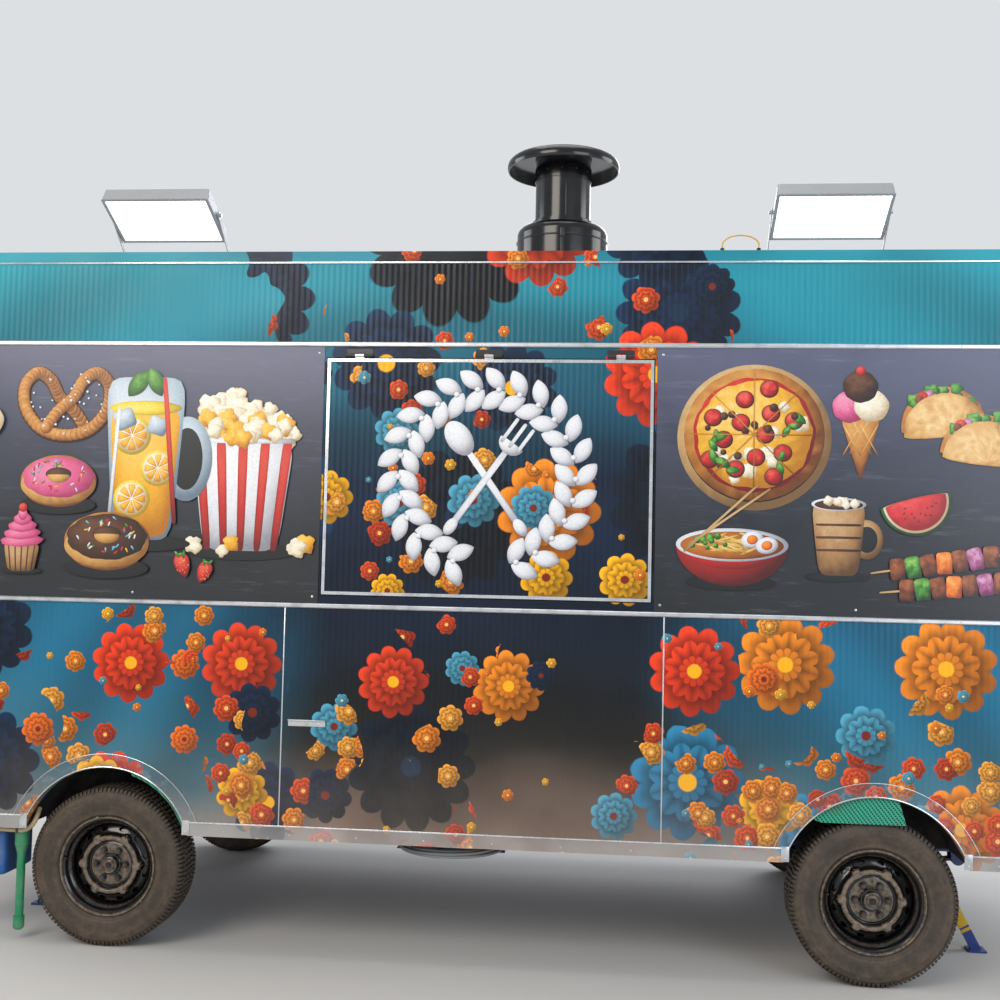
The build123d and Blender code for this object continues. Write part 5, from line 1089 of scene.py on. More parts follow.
# Printed food, drawn as flat shapes one over the other: dark, middle and light ink of each stuff
INKS = {
    "crust": ("#6E3A12", "#BF7A30", "#EBB668"), "dough": ("#8A5A24", "#D9A35A", "#F6D79A"),
    "pink": ("#A02F5E", "#E0608F", "#FBB3CB"), "choc": ("#1E0E08", "#4A2A18", "#8B5E40"),
    "cream": ("#B9A27C", "#EFE3C8", "#FFFDF2"), "red": ("#6E0C0E", "#C4241D", "#F2624C"),
    "yellow": ("#B56F08", "#F3B01C", "#FFE17A"), "lemon": ("#A98C0E", "#EED22F", "#FFF6A6"),
    "green": ("#173C14", "#3A8229", "#93CE5C"), "white": ("#8E8F98", "#E2E3E8", "#FFFFFF"),
    "glass": ("#66798A", "#AEBFCC", "#F4FAFF"), "orange": ("#9E3D08", "#EC7A1A", "#FFB45C"),
    "berry": ("#760B12", "#CE2427", "#FF7763"), "bowl": ("#4C0B0D", "#A8211E", "#DF5548"),
    "broth": ("#6A310C", "#B9691F", "#E8A956"), "noodle": ("#9A6C22", "#DFB65A", "#FFE8A6"),
    "kraft": ("#5C3D1E", "#B08250", "#E2BF90"), "melon": ("#94101A", "#DB3338", "#FF8577"),
    "rind": ("#0F3616", "#2C7331", "#7DBB5E"), "shade": ("#0A0C10", "#12151A", "#1B1F27"),
    "meat": ("#33160B", "#7A3A1C", "#B9703F"), "cheese": ("#B9770E", "#F2B530", "#FFE08C"),
    "leaf": ("#12380F", "#2F7A22", "#A6DA6A"), "wood": ("#7A5A34", "#C9A26C", "#EFD5A6"),
    "water": ("#2B6F8C", "#5FB1CC", "#C6ECF6"), "onion": ("#6A2450", "#B0578C", "#EBC3DC"),
}


def outline(kind, share, lump, waves):
    """A point of a printed shape's edge, in a unit box, at a share of the way round."""
    a = 2 * math.pi * share
    c, s = math.cos(a), math.sin(a)
    if kind in ("box", "cup", "wedge"):
        k = (abs(c) ** 7 + abs(s) ** 7) ** (-1 / 7)
        c, s = c * k, s * k
        c *= {"box": 1.0, "cup": 0.86 + 0.14 * s, "wedge": 0.53 + 0.47 * s}[kind]
    elif kind == "half":
        s = s if s < 0 else 0.12 * s
    elif kind == "leaf":
        s *= abs(s) ** 0.7
    elif kind == "drop":
        c *= 1 - 0.42 * (s + 1) ** 1.3 / 2
    grow = 1 + lump * math.sin(waves * a + 0.7) + lump * 0.5 * math.sin((waves * 2 + 1) * a)
    return c * grow / 2, s * grow / 2


# A printed shape's lumps, their number round the edge and its grain, where its row gives none
PLAIN = (0, 3, 0.05)


def printed_shape(row, layer, seed):
    """One flat shape of a picture, with ink that lightens to the upper left and darkens to its edge."""
    kind, x, z, w, h, turn, ink, lump, waves, grain = (*row, *PLAIN)[:10]
    size = max(w, h)
    around, rings = (52, 9) if size > 0.2 else (28, 5) if size > 0.07 else (14, 3)
    bpy.ops.mesh.primitive_grid_add(x_subdivisions=around, y_subdivisions=rings, size=1)
    piece = added("printed_shape")
    dark, plain, light = (Vector(colour(code)[:3]) for code in INKS[ink])
    tints = []
    cos_t, sin_t = math.cos(turn), math.sin(turn)
    for v in piece.data.vertices:
        share, ring = v.co.x + 0.5, v.co.y + 0.5
        ox, oz = outline(kind, share, lump, waves)
        u, t = ox * ring * w, oz * ring * h
        px, pz = u * cos_t - t * sin_t, u * sin_t + t * cos_t
        nx, nz = px / size * 2, pz / size * 2
        speck = noise.noise(Vector(((x + px) * 38, (z + pz) * 38, seed * 1.7)))
        speck += 0.6 * noise.noise(Vector(((x + px) * 120, (z + pz) * 120, seed)))
        lit = 0.60 + 0.34 * (nz - 0.7 * nx) - 0.42 * ring ** 3 + grain * speck
        lit = min(max(lit, 0.0), 1.0)
        tint = dark.lerp(plain, lit * 2) if lit < 0.5 else plain.lerp(light, lit * 2 - 1)
        tints += [*tint, 1.0]
        v.co = (x + px, -0.00004 * layer, z + pz)
    held = piece.data.attributes.new("ink", "FLOAT_COLOR", "POINT")
    held.data.foreach_set("color", tints)
    return piece


def many(kind, count, x, z, wide, high, size, ink, seed, lump=0.0, waves=3, flat=1.0, grain=0.25):
    """Like shapes strewn over an oval, the upper ones first."""
    dice = random.Random(seed)
    rows = []
    for _ in range(count):
        a, r = dice.uniform(0, 2 * math.pi), math.sqrt(dice.random())
        one = size * dice.uniform(0.75, 1.25)
        rows.append((kind, x + wide / 2 * r * math.cos(a), z + high / 2 * r * math.sin(a), one, one * flat,
                     dice.uniform(-1.5, 1.5),
                     ink if isinstance(ink, str) else dice.choice(ink), lump, waves, grain))
    return sorted(rows, key=lambda row: -row[2])


def popcorn_tub():
    """A striped tub heaped with popcorn."""
    rows = [("oval", 0, -0.53, 0.75, 0.12, 0, "shade")]
    rows += many("oval", 46, 0, 0.24, 0.66, 0.46, 0.125, ("cream", "cream", "yellow"), 5, 0.13, 4)
    rows.append(("cup", 0, -0.17, 0.68, 0.72, 0, "white"))
    for i in (-2, -1, 0, 1, 2):
        rows.append(("cup", i * 0.128, -0.17, 0.066, 0.72, i * -0.055, "red"))
    rows.append(("box", 0, 0.18, 0.68, 0.035, 0, "white", 0.02, 20, 0.05))
    rows += many("oval", 26, 0, 0.27, 0.60, 0.18, 0.12, ("cream", "cream", "yellow"), 9, 0.14, 4)
    rows += many("oval", 7, 0.05, -0.50, 0.9, 0.08, 0.1, ("cream", "yellow"), 12, 0.14, 4)
    return rows


def doughnut(icing, seed):
    """A ring with icing and strewn sugar."""
    rows = [("oval", 0, -0.30, 1, 0.24, 0, "shade"), ("oval", 0, 0, 1, 0.66, 0, "crust", 0.008, 5, 0.15),
            ("oval", 0, -0.04, 0.99, 0.52, 0, "dough", 0.008, 6, 0.12),
            ("oval", 0, 0.05, 0.94, 0.52, 0, icing, 0.022, 9, 0.08),
            ("oval", 0, 0.09, 0.34, 0.17, 0, "choc"), ("half", 0, 0.075, 0.30, 0.20, 0, "dough", 0, 3, 0.1)]
    dice = random.Random(seed)
    for _ in range(34):
        a = dice.uniform(0, 2 * math.pi)
        r = dice.uniform(0.52, 0.86)
        rows.append(("box", 0.46 * r * math.cos(a), 0.06 + 0.25 * r * math.sin(a), 0.055, 0.018,
                     dice.uniform(0, 3), dice.choice(("yellow", "white", "water", "green", "red"))))
    return rows


def lemonade_jug():
    """A glass jug with slices of lemon, ice, mint and a straw."""
    rows = [("oval", 0, -0.52, 0.62, 0.1, 0, "shade"),
            ("oval", 0.27, 0, 0.32, 0.52, 0, "glass", 0, 3, 0.03), ("oval", 0.27, 0, 0.2, 0.38, 0, "shade"),
            ("cup", 0, 0, 0.52, 1, 0, "glass", 0, 3, 0.03), ("cup", 0, -0.08, 0.46, 0.8, 0, "yellow"),
            ("oval", 0, 0.31, 0.46, 0.09, 0, "lemon")]
    for dx, dz, size in ((-0.08, 0.14, 0.24), (0.09, -0.06, 0.22), (-0.07, -0.25, 0.23)):
        rows += [("oval", dx, dz, size, size, 0, "lemon"),
                 ("oval", dx, dz, size * 0.85, size * 0.85, 0, "cream")]
        rows += [("wedge", dx + size * 0.21 * math.sin(k * math.pi / 4),
                  dz + size * 0.21 * math.cos(k * math.pi / 4),
                  size * 0.25, size * 0.34, -k * math.pi / 4, "yellow", 0, 3, 0.1) for k in range(8)]
    rows += [("box", -0.13, 0.24, 0.13, 0.12, 0.4, "glass", 0, 3, 0.1),
             ("box", 0.08, 0.2, 0.12, 0.11, -0.3, "glass", 0, 3, 0.1),
             ("leaf", -0.05, 0.46, 0.2, 0.11, 0.9, "leaf", 0, 3, 0.15),
             ("leaf", 0.06, 0.47, 0.19, 0.1, 2.0, "leaf", 0, 3, 0.15),
             ("box", -0.19, -0.05, 0.022, 0.72, -0.06, "white", 0, 3, 0.03),
             ("box", 0.16, 0.05, 0.03, 0.9, 0.1, "red", 0, 3, 0.03)]
    return rows


def pretzel():
    """A knotted pretzel: beads laid along a curve through its knots."""
    knots = [(0.24, -0.34), (0.10, -0.12), (-0.08, 0.06), (-0.18, 0.26), (-0.34, 0.36), (-0.48, 0.20),
             (-0.46, -0.08), (-0.28, -0.32), (0.0, -0.40), (0.28, -0.32), (0.46, -0.08), (0.48, 0.20),
             (0.34, 0.36), (0.18, 0.26), (0.08, 0.06), (-0.10, -0.12), (-0.24, -0.34)]
    rows = []
    for wide, ink, lift in ((0.165, "choc", 0.0), (0.135, "crust", 0.008)):
        for k in range(len(knots) - 1):
            before, here, there, after = (Vector(knots[min(max(k + j, 0), len(knots) - 1)])
                                          for j in (-1, 0, 1, 2))
            for t in (0.0, 0.2, 0.4, 0.6, 0.8):
                at = (here + (there - before) * 0.5 * t
                      + (before * 2 - here * 5 + there * 4 - after) * 0.5 * t * t
                      + (here * 3 - before - there * 3 + after) * 0.5 * t ** 3)
                rows.append(("oval", at.x, at.y * 0.9 + lift, wide, wide, 0, ink, 0, 3, 0.2))
    return rows + many("box", 34, 0, 0, 0.9, 0.7, 0.022, "white", 31)


def cupcake():
    """A cake in a pleated case, its cream in five turns."""
    rows = [("oval", 0, -0.47, 0.7, 0.1, 0, "shade"), ("cup", 0, -0.25, 0.62, 0.46, 0, "kraft", 0, 3, 0.1)]
    rows += [("cup", i * 0.1, -0.25, 0.028, 0.45, i * -0.06, "choc") for i in (-2, -1, 0, 1, 2)]
    for wide, high in ((0.72, 0.02), (0.62, 0.14), (0.48, 0.26), (0.3, 0.37), (0.16, 0.45)):
        rows.append(("oval", 0, high, wide, 0.2, 0.05, "pink", 0.03, 7, 0.05))
    rows.append(("oval", 0, 0.56, 0.15, 0.15, 0, "berry"))
    return rows


def strawberry(turn, seed):
    """A strawberry with its seeds and three leaves."""
    rows = [("drop", 0, 0, 0.8, 1, math.pi + turn, "berry", 0.015, 5, 0.1)]
    dice = random.Random(seed)
    rows += [("oval", dice.uniform(-0.25, 0.25), dice.uniform(-0.35, 0.28), 0.035, 0.055, 0, "yellow")
             for _ in range(20)]
    rows += [("leaf", 0.14 * k - 0.36 * math.sin(turn), 0.44, 0.34, 0.13, 1.2 * k + turn, "leaf", 0, 3, 0.15)
             for k in (-1, 0, 1)]
    return rows


def pizza():
    """A pizza on its board, cut in eight."""
    rows = [("oval", 0, -0.02, 1.10, 1.06, 0, "wood", 0, 3, 0.12), ("oval", 0, -0.01, 1, 0.96, 0, "shade"),
            ("oval", 0, 0, 1, 0.96, 0, "crust", 0.006, 17, 0.3),
            ("oval", 0, 0, 0.87, 0.83, 0, "red", 0.012, 11, 0.2),
            ("oval", 0, 0, 0.82, 0.78, 0, "cheese", 0.02, 9, 0.3)]
    rows += many("oval", 16, 0, 0, 0.74, 0.70, 0.1, "cream", 41, 0.1, 4)
    for i in range(13):
        a, r = i * 2.4, 0.37 * math.sqrt((i + 0.6) / 13)
        rows.append(("oval", r * math.cos(a), r * math.sin(a), 0.135, 0.13, 0, "meat", 0, 3, 0.1))
        rows.append(("oval", r * math.cos(a), r * math.sin(a), 0.115, 0.11, 0, "berry", 0.01, 7, 0.35))
    rows += many("leaf", 12, 0, 0, 0.7, 0.66, 0.11, "leaf", 43, flat=0.5)
    rows += many("oval", 12, 0, 0, 0.7, 0.66, 0.05, "choc", 44)
    rows += [("box", 0, 0, 0.007, 0.92, k * math.pi / 4, "crust") for k in range(4)]
    return rows


def taco(turn):
    """A filled shell."""
    rows = [("half", 0, 0, 1, 0.98, math.pi + turn, "crust", 0.004, 9, 0.3)]
    rows += many("oval", 16, -0.18 * math.sin(turn), 0.33, 0.72, 0.3, 0.15, ("leaf", "green"), 51, 0.15, 5)
    rows += many("oval", 13, 0, 0.30, 0.68, 0.2, 0.12, ("red", "meat", "cheese", "onion"), 53, 0.06, 5)
    rows.append(("half", 0.02, -0.06, 0.98, 0.94, math.pi + turn, "dough", 0.006, 11, 0.35))
    return rows


def noodle_bowl():
    """A bowl of noodles with egg and chopsticks."""
    rows = [("oval", 0, -0.34, 0.8, 0.14, 0, "shade"), ("half", 0, 0, 1, 0.74, 0, "bowl"),
            ("half", 0, -0.02, 0.9, 0.4, 0, "red"), ("oval", 0, 0, 1, 0.30, 0, "white", 0, 3, 0.03),
            ("oval", 0, -0.005, 0.92, 0.25, 0, "broth", 0, 3, 0.1)]
    dice = random.Random(61)
    for _ in range(26):
        rows.append(("oval", dice.uniform(-0.28, 0.24), dice.uniform(-0.05, 0.07), dice.uniform(0.16, 0.3),
                     0.022, dice.uniform(-0.5, 0.5), "noodle", 0, 3, 0.1))
    for dx, dz in ((0.18, 0.05), (0.31, 0.0)):
        rows += [("oval", dx, dz, 0.2, 0.15, 0.2, "white", 0, 3, 0.03),
                 ("oval", dx, dz, 0.1, 0.085, 0.2, "orange")]
    rows += many("oval", 14, -0.22, 0.03, 0.36, 0.12, 0.055, ("leaf", "green"), 63)
    rows += [("box", -0.1, 0.24, 0.9, 0.022, 0.75, "wood"), ("box", -0.03, 0.25, 0.9, 0.022, 0.62, "wood")]
    return rows


def cocoa_mug():
    """A mug of cocoa with marshmallows."""
    rows = [("oval", 0, -0.5, 0.8, 0.12, 0, "shade"), ("oval", 0.34, -0.02, 0.42, 0.5, 0, "kraft"),
            ("oval", 0.35, -0.02, 0.26, 0.33, 0, "shade"),
            ("cup", 0, -0.02, 0.68, 0.92, 0, "kraft", 0, 3, 0.12),
            ("oval", 0, 0.42, 0.68, 0.17, 0, "white", 0, 3, 0.03),
            ("oval", 0, 0.415, 0.6, 0.13, 0, "choc", 0, 3, 0.1)]
    rows += many("box", 9, 0, 0.44, 0.42, 0.07, 0.1, "cream", 71)
    rows += [("box", 0, k * 0.16, 0.56, 0.03, 0, "choc", 0.03, 16, 0.05) for k in (-1, 0, 1)]
    return rows


def melon_slice(turn):
    """A slice of melon with its seeds."""
    rows = [("half", 0, 0, 1, 0.98, turn, "rind", 0, 3, 0.15), ("half", 0, 0, 0.92, 0.9, turn, "cream"),
            ("half", 0, 0.005, 0.86, 0.84, turn, "melon", 0, 3, 0.12)]
    for i in range(12):
        a, r = math.radians(200 + i * 13), 0.18 + 0.1 * (i % 3) / 2
        rows.append(("drop", r * math.cos(a + turn), r * math.sin(a + turn), 0.025, 0.045, a + turn + 1.6,
                     "choc"))
    return rows


def skewer(turn):
    """Meat and vegetables on a stick."""
    rows = [("box", 0, 0, 1, 0.014, turn, "wood")]
    for i, ink in enumerate(("meat", "green", "meat", "orange", "meat", "onion", "meat")):
        at = (i - 3) * 0.105
        rows.append(("box", at * math.cos(turn), at * math.sin(turn), 0.105, 0.15, turn + 0.1 * (i % 3 - 1),
                     ink, 0.02, 5, 0.4))
    return rows


def ice_cone():
    """Three scoops in a wafer cone."""
    rows = [("wedge", 0, -0.22, 0.4, 0.62, 0, "crust", 0, 3, 0.1)]
    rows += [("box", 0.08 * k, -0.12 - 0.05 * abs(k), 0.012, 0.42 - 0.08 * abs(k), 0.5 * side, "dough")
             for k in (-1, 0, 1) for side in (-1, 1)]
    rows += [("oval", -0.1, 0.14, 0.32, 0.3, 0, "pink", 0.02, 7, 0.15),
             ("oval", 0.1, 0.15, 0.32, 0.3, 0, "cream", 0.02, 6, 0.15),
             ("oval", 0, 0.33, 0.32, 0.3, 0, "choc", 0.02, 7, 0.2), ("oval", 0, 0.48, 0.09, 0.09, 0, "berry")]
    return rows


def wreath():
    """A white wreath of leaves round a crossed fork and spoon."""
    rows = []
    for i in range(26):
        if i in (19, 20):
            continue
        a = 2 * math.pi * i / 26
        for side in (-1, 1):
            r = 0.46 + side * 0.055
            rows.append(("leaf", r * math.cos(a + 0.05), r * math.sin(a + 0.05), 0.15, 0.085,
                         a + math.pi / 2 - side * 0.75, "white", 0, 3, 0.03))
        rows.append(("oval", 0.46 * math.cos(a), 0.46 * math.sin(a), 0.03, 0.03, 0, "white", 0, 3, 0.03))
    for lean, tool in ((0.62, "spoon"), (-0.62, "fork")):
        c, d = math.cos(lean), math.sin(lean)

        def at(u, v):
            return u * c - v * d, u * d + v * c
        rows.append(("box", *at(0, -0.08), 0.035, 0.50, lean, "white", 0, 3, 0.03))
        rows.append(("oval", *at(0, -0.31), 0.06, 0.10, lean, "white", 0, 3, 0.03))
        if tool == "spoon":
            rows.append(("oval", *at(0, 0.25), 0.13, 0.20, lean, "white", 0, 3, 0.03))
        else:
            rows.append(("half", *at(0, 0.22), 0.14, 0.12, lean, "white", 0, 3, 0.03))
            rows += [("box", *at(u * 0.05, 0.27), 0.02, 0.15, lean, "white", 0, 3, 0.03) for u in (-1, 0, 1)]
    return rows


def placed(rows, x, z, size):
    """A picture's rows, drawn in a unit square, sized and moved to their place."""
    return [(row[0], x + row[1] * size, z + row[2] * size, row[3] * size, row[4] * size, *row[5:])
            for row in rows]


class TRAILER_OT_boards(bpy.types.Operator):
    """Prints the food pictures on the two menu boards and drives their screws"""
    bl_idname = "trailer.boards"
    bl_label = "Menu boards"

    def execute(self, context):
        low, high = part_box("menu_board_front")
        face = low[1] - 0.0002
        middle = (low[2] + high[2]) / 2
        inner, outer = high[0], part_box("menu_board_rear")[0][0]
        front = [(pretzel(), -1.20, 0.31, 0.42), (popcorn_tub(), -0.36, 0.02, 0.70),
                 (lemonade_jug(), -0.82, 0.06, 0.74), (doughnut("pink", 3), -1.22, -0.05, 0.36),
                 (doughnut("choc", 4), -0.98, -0.32, 0.40), (cupcake(), -1.38, -0.33, 0.28),
                 (strawberry(0.3, -931), -0.62, -0.42, 0.11), (strawberry(-0.4, -831), -0.52, -0.45, 0.10),
                 (ice_cone(), -1.62, 0.15, 0.5)]
        rear = [(pizza(), 0.42, 0.20, 0.60), (ice_cone(), 0.87, 0.26, 0.46), (taco(0.12), 1.22, 0.24, 0.36),
                (taco(-0.1), 1.38, 0.12, 0.36), (noodle_bowl(), 0.33, -0.28, 0.48),
                (cocoa_mug(), 0.78, -0.24, 0.34), (melon_slice(0.25), 1.10, -0.08, 0.30),
                (skewer(0.16), 1.22, -0.34, 0.62), (skewer(0.10), 1.26, -0.44, 0.62)]
        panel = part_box("hatch_panel")
        crest = panel[0][1] - 0.0012 - context.scene.trailer_look.rib_depth
        emblem = [(wreath(), 0, 0, 0.86)]
        panel_x, panel_z = (panel[0][0] + panel[1][0]) / 2, (panel[0][2] + panel[1][2]) / 2
        for name, pictures, base_x, base_z, at, body in (
                ("pictures_front_board", front, inner, middle, face, "trailer"),
                ("pictures_rear_board", rear, outer, middle, face, "trailer"),
                ("hatch_wreath", emblem, panel_x, panel_z, crest, "hatch")):
            rows = [row for drawing, x, z, size in pictures
                    for row in placed(drawing, base_x + x, base_z + z, size)]
            clear()
            shapes = [printed_shape(row, i, i % 97) for i, row in enumerate(rows)]
            sheet = joined(name, shapes)
            edit(sheet)
            bpy.ops.transform.translate(value=(0, at, 0))
            leave_edit()
            settle(sheet, body, "printed_food_film")
        screws = []
        for x, way in ((inner - 0.025, -1), (outer + 0.025, 1)):
            screws.append(rivets((x, face, high[2] - 0.030), (way * 1.66, 0, 0), 2, (0, -1, 0), 0.006, 0.002))
            screws.append(rivets((x, face, low[2] + 0.030), (way * 0.83, 0, 0), 3, (0, -1, 0), 0.006, 0.002))
        settle(joined("board_screws", screws), "trailer", "zinc_fastener")
        return {"FINISHED"}


def framed(name, centre, wide, high, band, thick, facing, bevel=0.0):
    """A flat frame: a plane inset by its band, opened and thickened; it faces -1 or 1 along Y or X."""
    clear()
    axis, way = facing
    turn = (math.pi / 2, 0, 0) if axis == "Y" else (0, math.pi / 2, 0)
    scale = (wide, high, 1) if axis == "Y" else (high, wide, 1)
    bpy.ops.mesh.primitive_plane_add(size=1, location=centre, rotation=turn)
    piece = added(name)
    piece.scale = scale
    bake()
    edit(piece, "FACE")
    bpy.ops.mesh.inset(thickness=band)
    bpy.ops.mesh.delete(type="FACE")
    bpy.ops.mesh.select_all(action="SELECT")
    way_out = (0, way * thick, 0) if axis == "Y" else (way * thick, 0, 0)
    pull(way_out)
    leave_edit()
    if bevel:
        apply(piece, "BEVEL", width=bevel, segments=2, limit_method="ANGLE")
    return tidy_mesh(piece)


def bolts(start_at, step, count, facing, across=0.013, high=0.006):
    """A row of hexagon heads on washers, modelled once: cylinder, inset and raised crown."""
    clear()
    turn = Vector((0, 0, 1)).rotation_difference(Vector(facing)).to_euler()
    bpy.ops.mesh.primitive_cylinder_add(vertices=6, radius=across / 2 / math.cos(math.pi / 6), depth=high,
                                        location=(0, 0, high / 2 + 0.0015))
    head = added("bolts")
    bake()
    top = high + 0.0015
    choose(head, "faces", lambda f: f.calc_center_median().z > top - 0.0005)
    bpy.ops.mesh.inset(thickness=across * 0.12)
    pull((0, 0, across * 0.06))
    leave_edit()
    clear()
    bpy.ops.mesh.primitive_cylinder_add(vertices=16, radius=across * 0.85, depth=0.0018,
                                        location=(0, 0, 0.0006))
    washer = added("washer")
    bake()
    head = joined("bolts", [head, washer])
    head.data.transform(Matrix.Translation(start_at) @ turn.to_matrix().to_4x4())
    return row_of(head, count, step) if count > 1 else head


class TRAILER_OT_arches(bpy.types.Operator):
    """Rolls the lips of the wheel arches and lines them with net"""
    bl_idname = "trailer.arches"
    bl_label = "Wheel arches"

    def execute(self, context):
        foot = math.asin((SILL_TOP - ARCH_Z) / ARCH_R)
        outer_foot = math.asin((SILL_TOP - ARCH_Z) / FLARE_R)
        lips, edges, nets, tabs = [], [], [], []
        net_y = 0.5 * (SERVICE_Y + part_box("tyre_rear_service")[0][1])
        for y, out in ((SERVICE_Y, -1), (FAR_Y, 1)):
            for end, x in zip((-1, 1), AXLE_X):
                centre = (x, y, ARCH_Z)
                for store, radius, thick, low, steps in ((lips, ARCH_R + 0.0012, 0.0034, foot, 48),
                                                         (edges, ARCH_R + 0.0590, 0.0020, outer_foot, 48)):
                    clear()
                    bpy.ops.mesh.primitive_circle_add(vertices=10, radius=thick,
                                                      location=(x + radius * math.cos(low), y + out * 0.0032,
                                                                ARCH_Z + radius * math.sin(low)),
                                                      rotation=(0, -low, 0))
                    ring = added("bead")
                    bake()
                    edit(ring)
                    bpy.ops.mesh.edge_face_add()
                    bpy.ops.mesh.spin(steps=steps, angle=math.pi - 2 * low, center=centre, axis=(0, 1, 0))
                    store.append(tidy_mesh(ring))
                # net hung from the arch over the tyre: an apron at the rear, and in front a narrow band
                # that clears the turned wheel
                hung, reach = (range(19, 75, 2), 0.0190) if end < 0 else (range(76, 134, 2), None)
                arc = [(ARCH_R - 0.0004) * Vector((math.cos(math.radians(a)), 0, math.sin(math.radians(a))))
                       for a in hung]
                if reach:
                    fall = [v * (1 - reach / ARCH_R) for v in reversed(arc)]
                else:
                    fall = [Vector((-0.225, 0, 0.283)), Vector((0.128, 0, 0.283))]
                depth = net_y if out < 0 else FAR_Y + SERVICE_Y - net_y
                nets.append(drawn("net", [(x + v.x, depth, ARCH_Z + v.z) for v in arc + fall], fill=True))
                for side in (-1, 1):
                    at = x + side * math.sqrt(ARCH_R ** 2 - (SILL_TOP - ARCH_Z) ** 2)
                    tabs.append(block("tab", (min(at, at + side * 0.034),
                                              min(y + out * 0.0032, y + out * 0.0062), SILL_TOP - 0.058),
                                      (max(at, at + side * 0.034), max(y + out * 0.0032, y + out * 0.0062),
                                       SILL_TOP + 0.006), 0.001))
                    tabs.append(rivets((at + side * 0.017, y + out * 0.0062, SILL_TOP - 0.045), (0, 0, 0.032),
                                       2, (0, out, 0), 0.005, 0.002))
        settle(joined("arch_lips", lips), "trailer", "polished_aluminium_frame")
        settle(joined("arch_edge_beads", edges), "trailer", "drawn_aluminium")
        settle(joined("arch_sill_tabs", tabs), "trailer", "drawn_aluminium")
        net = joined("arch_nets", nets)
        apply(net, "SOLIDIFY", thickness=0.0010, offset=0)
        settle(net, "trailer", "green_shade_net")
        return {"FINISHED"}


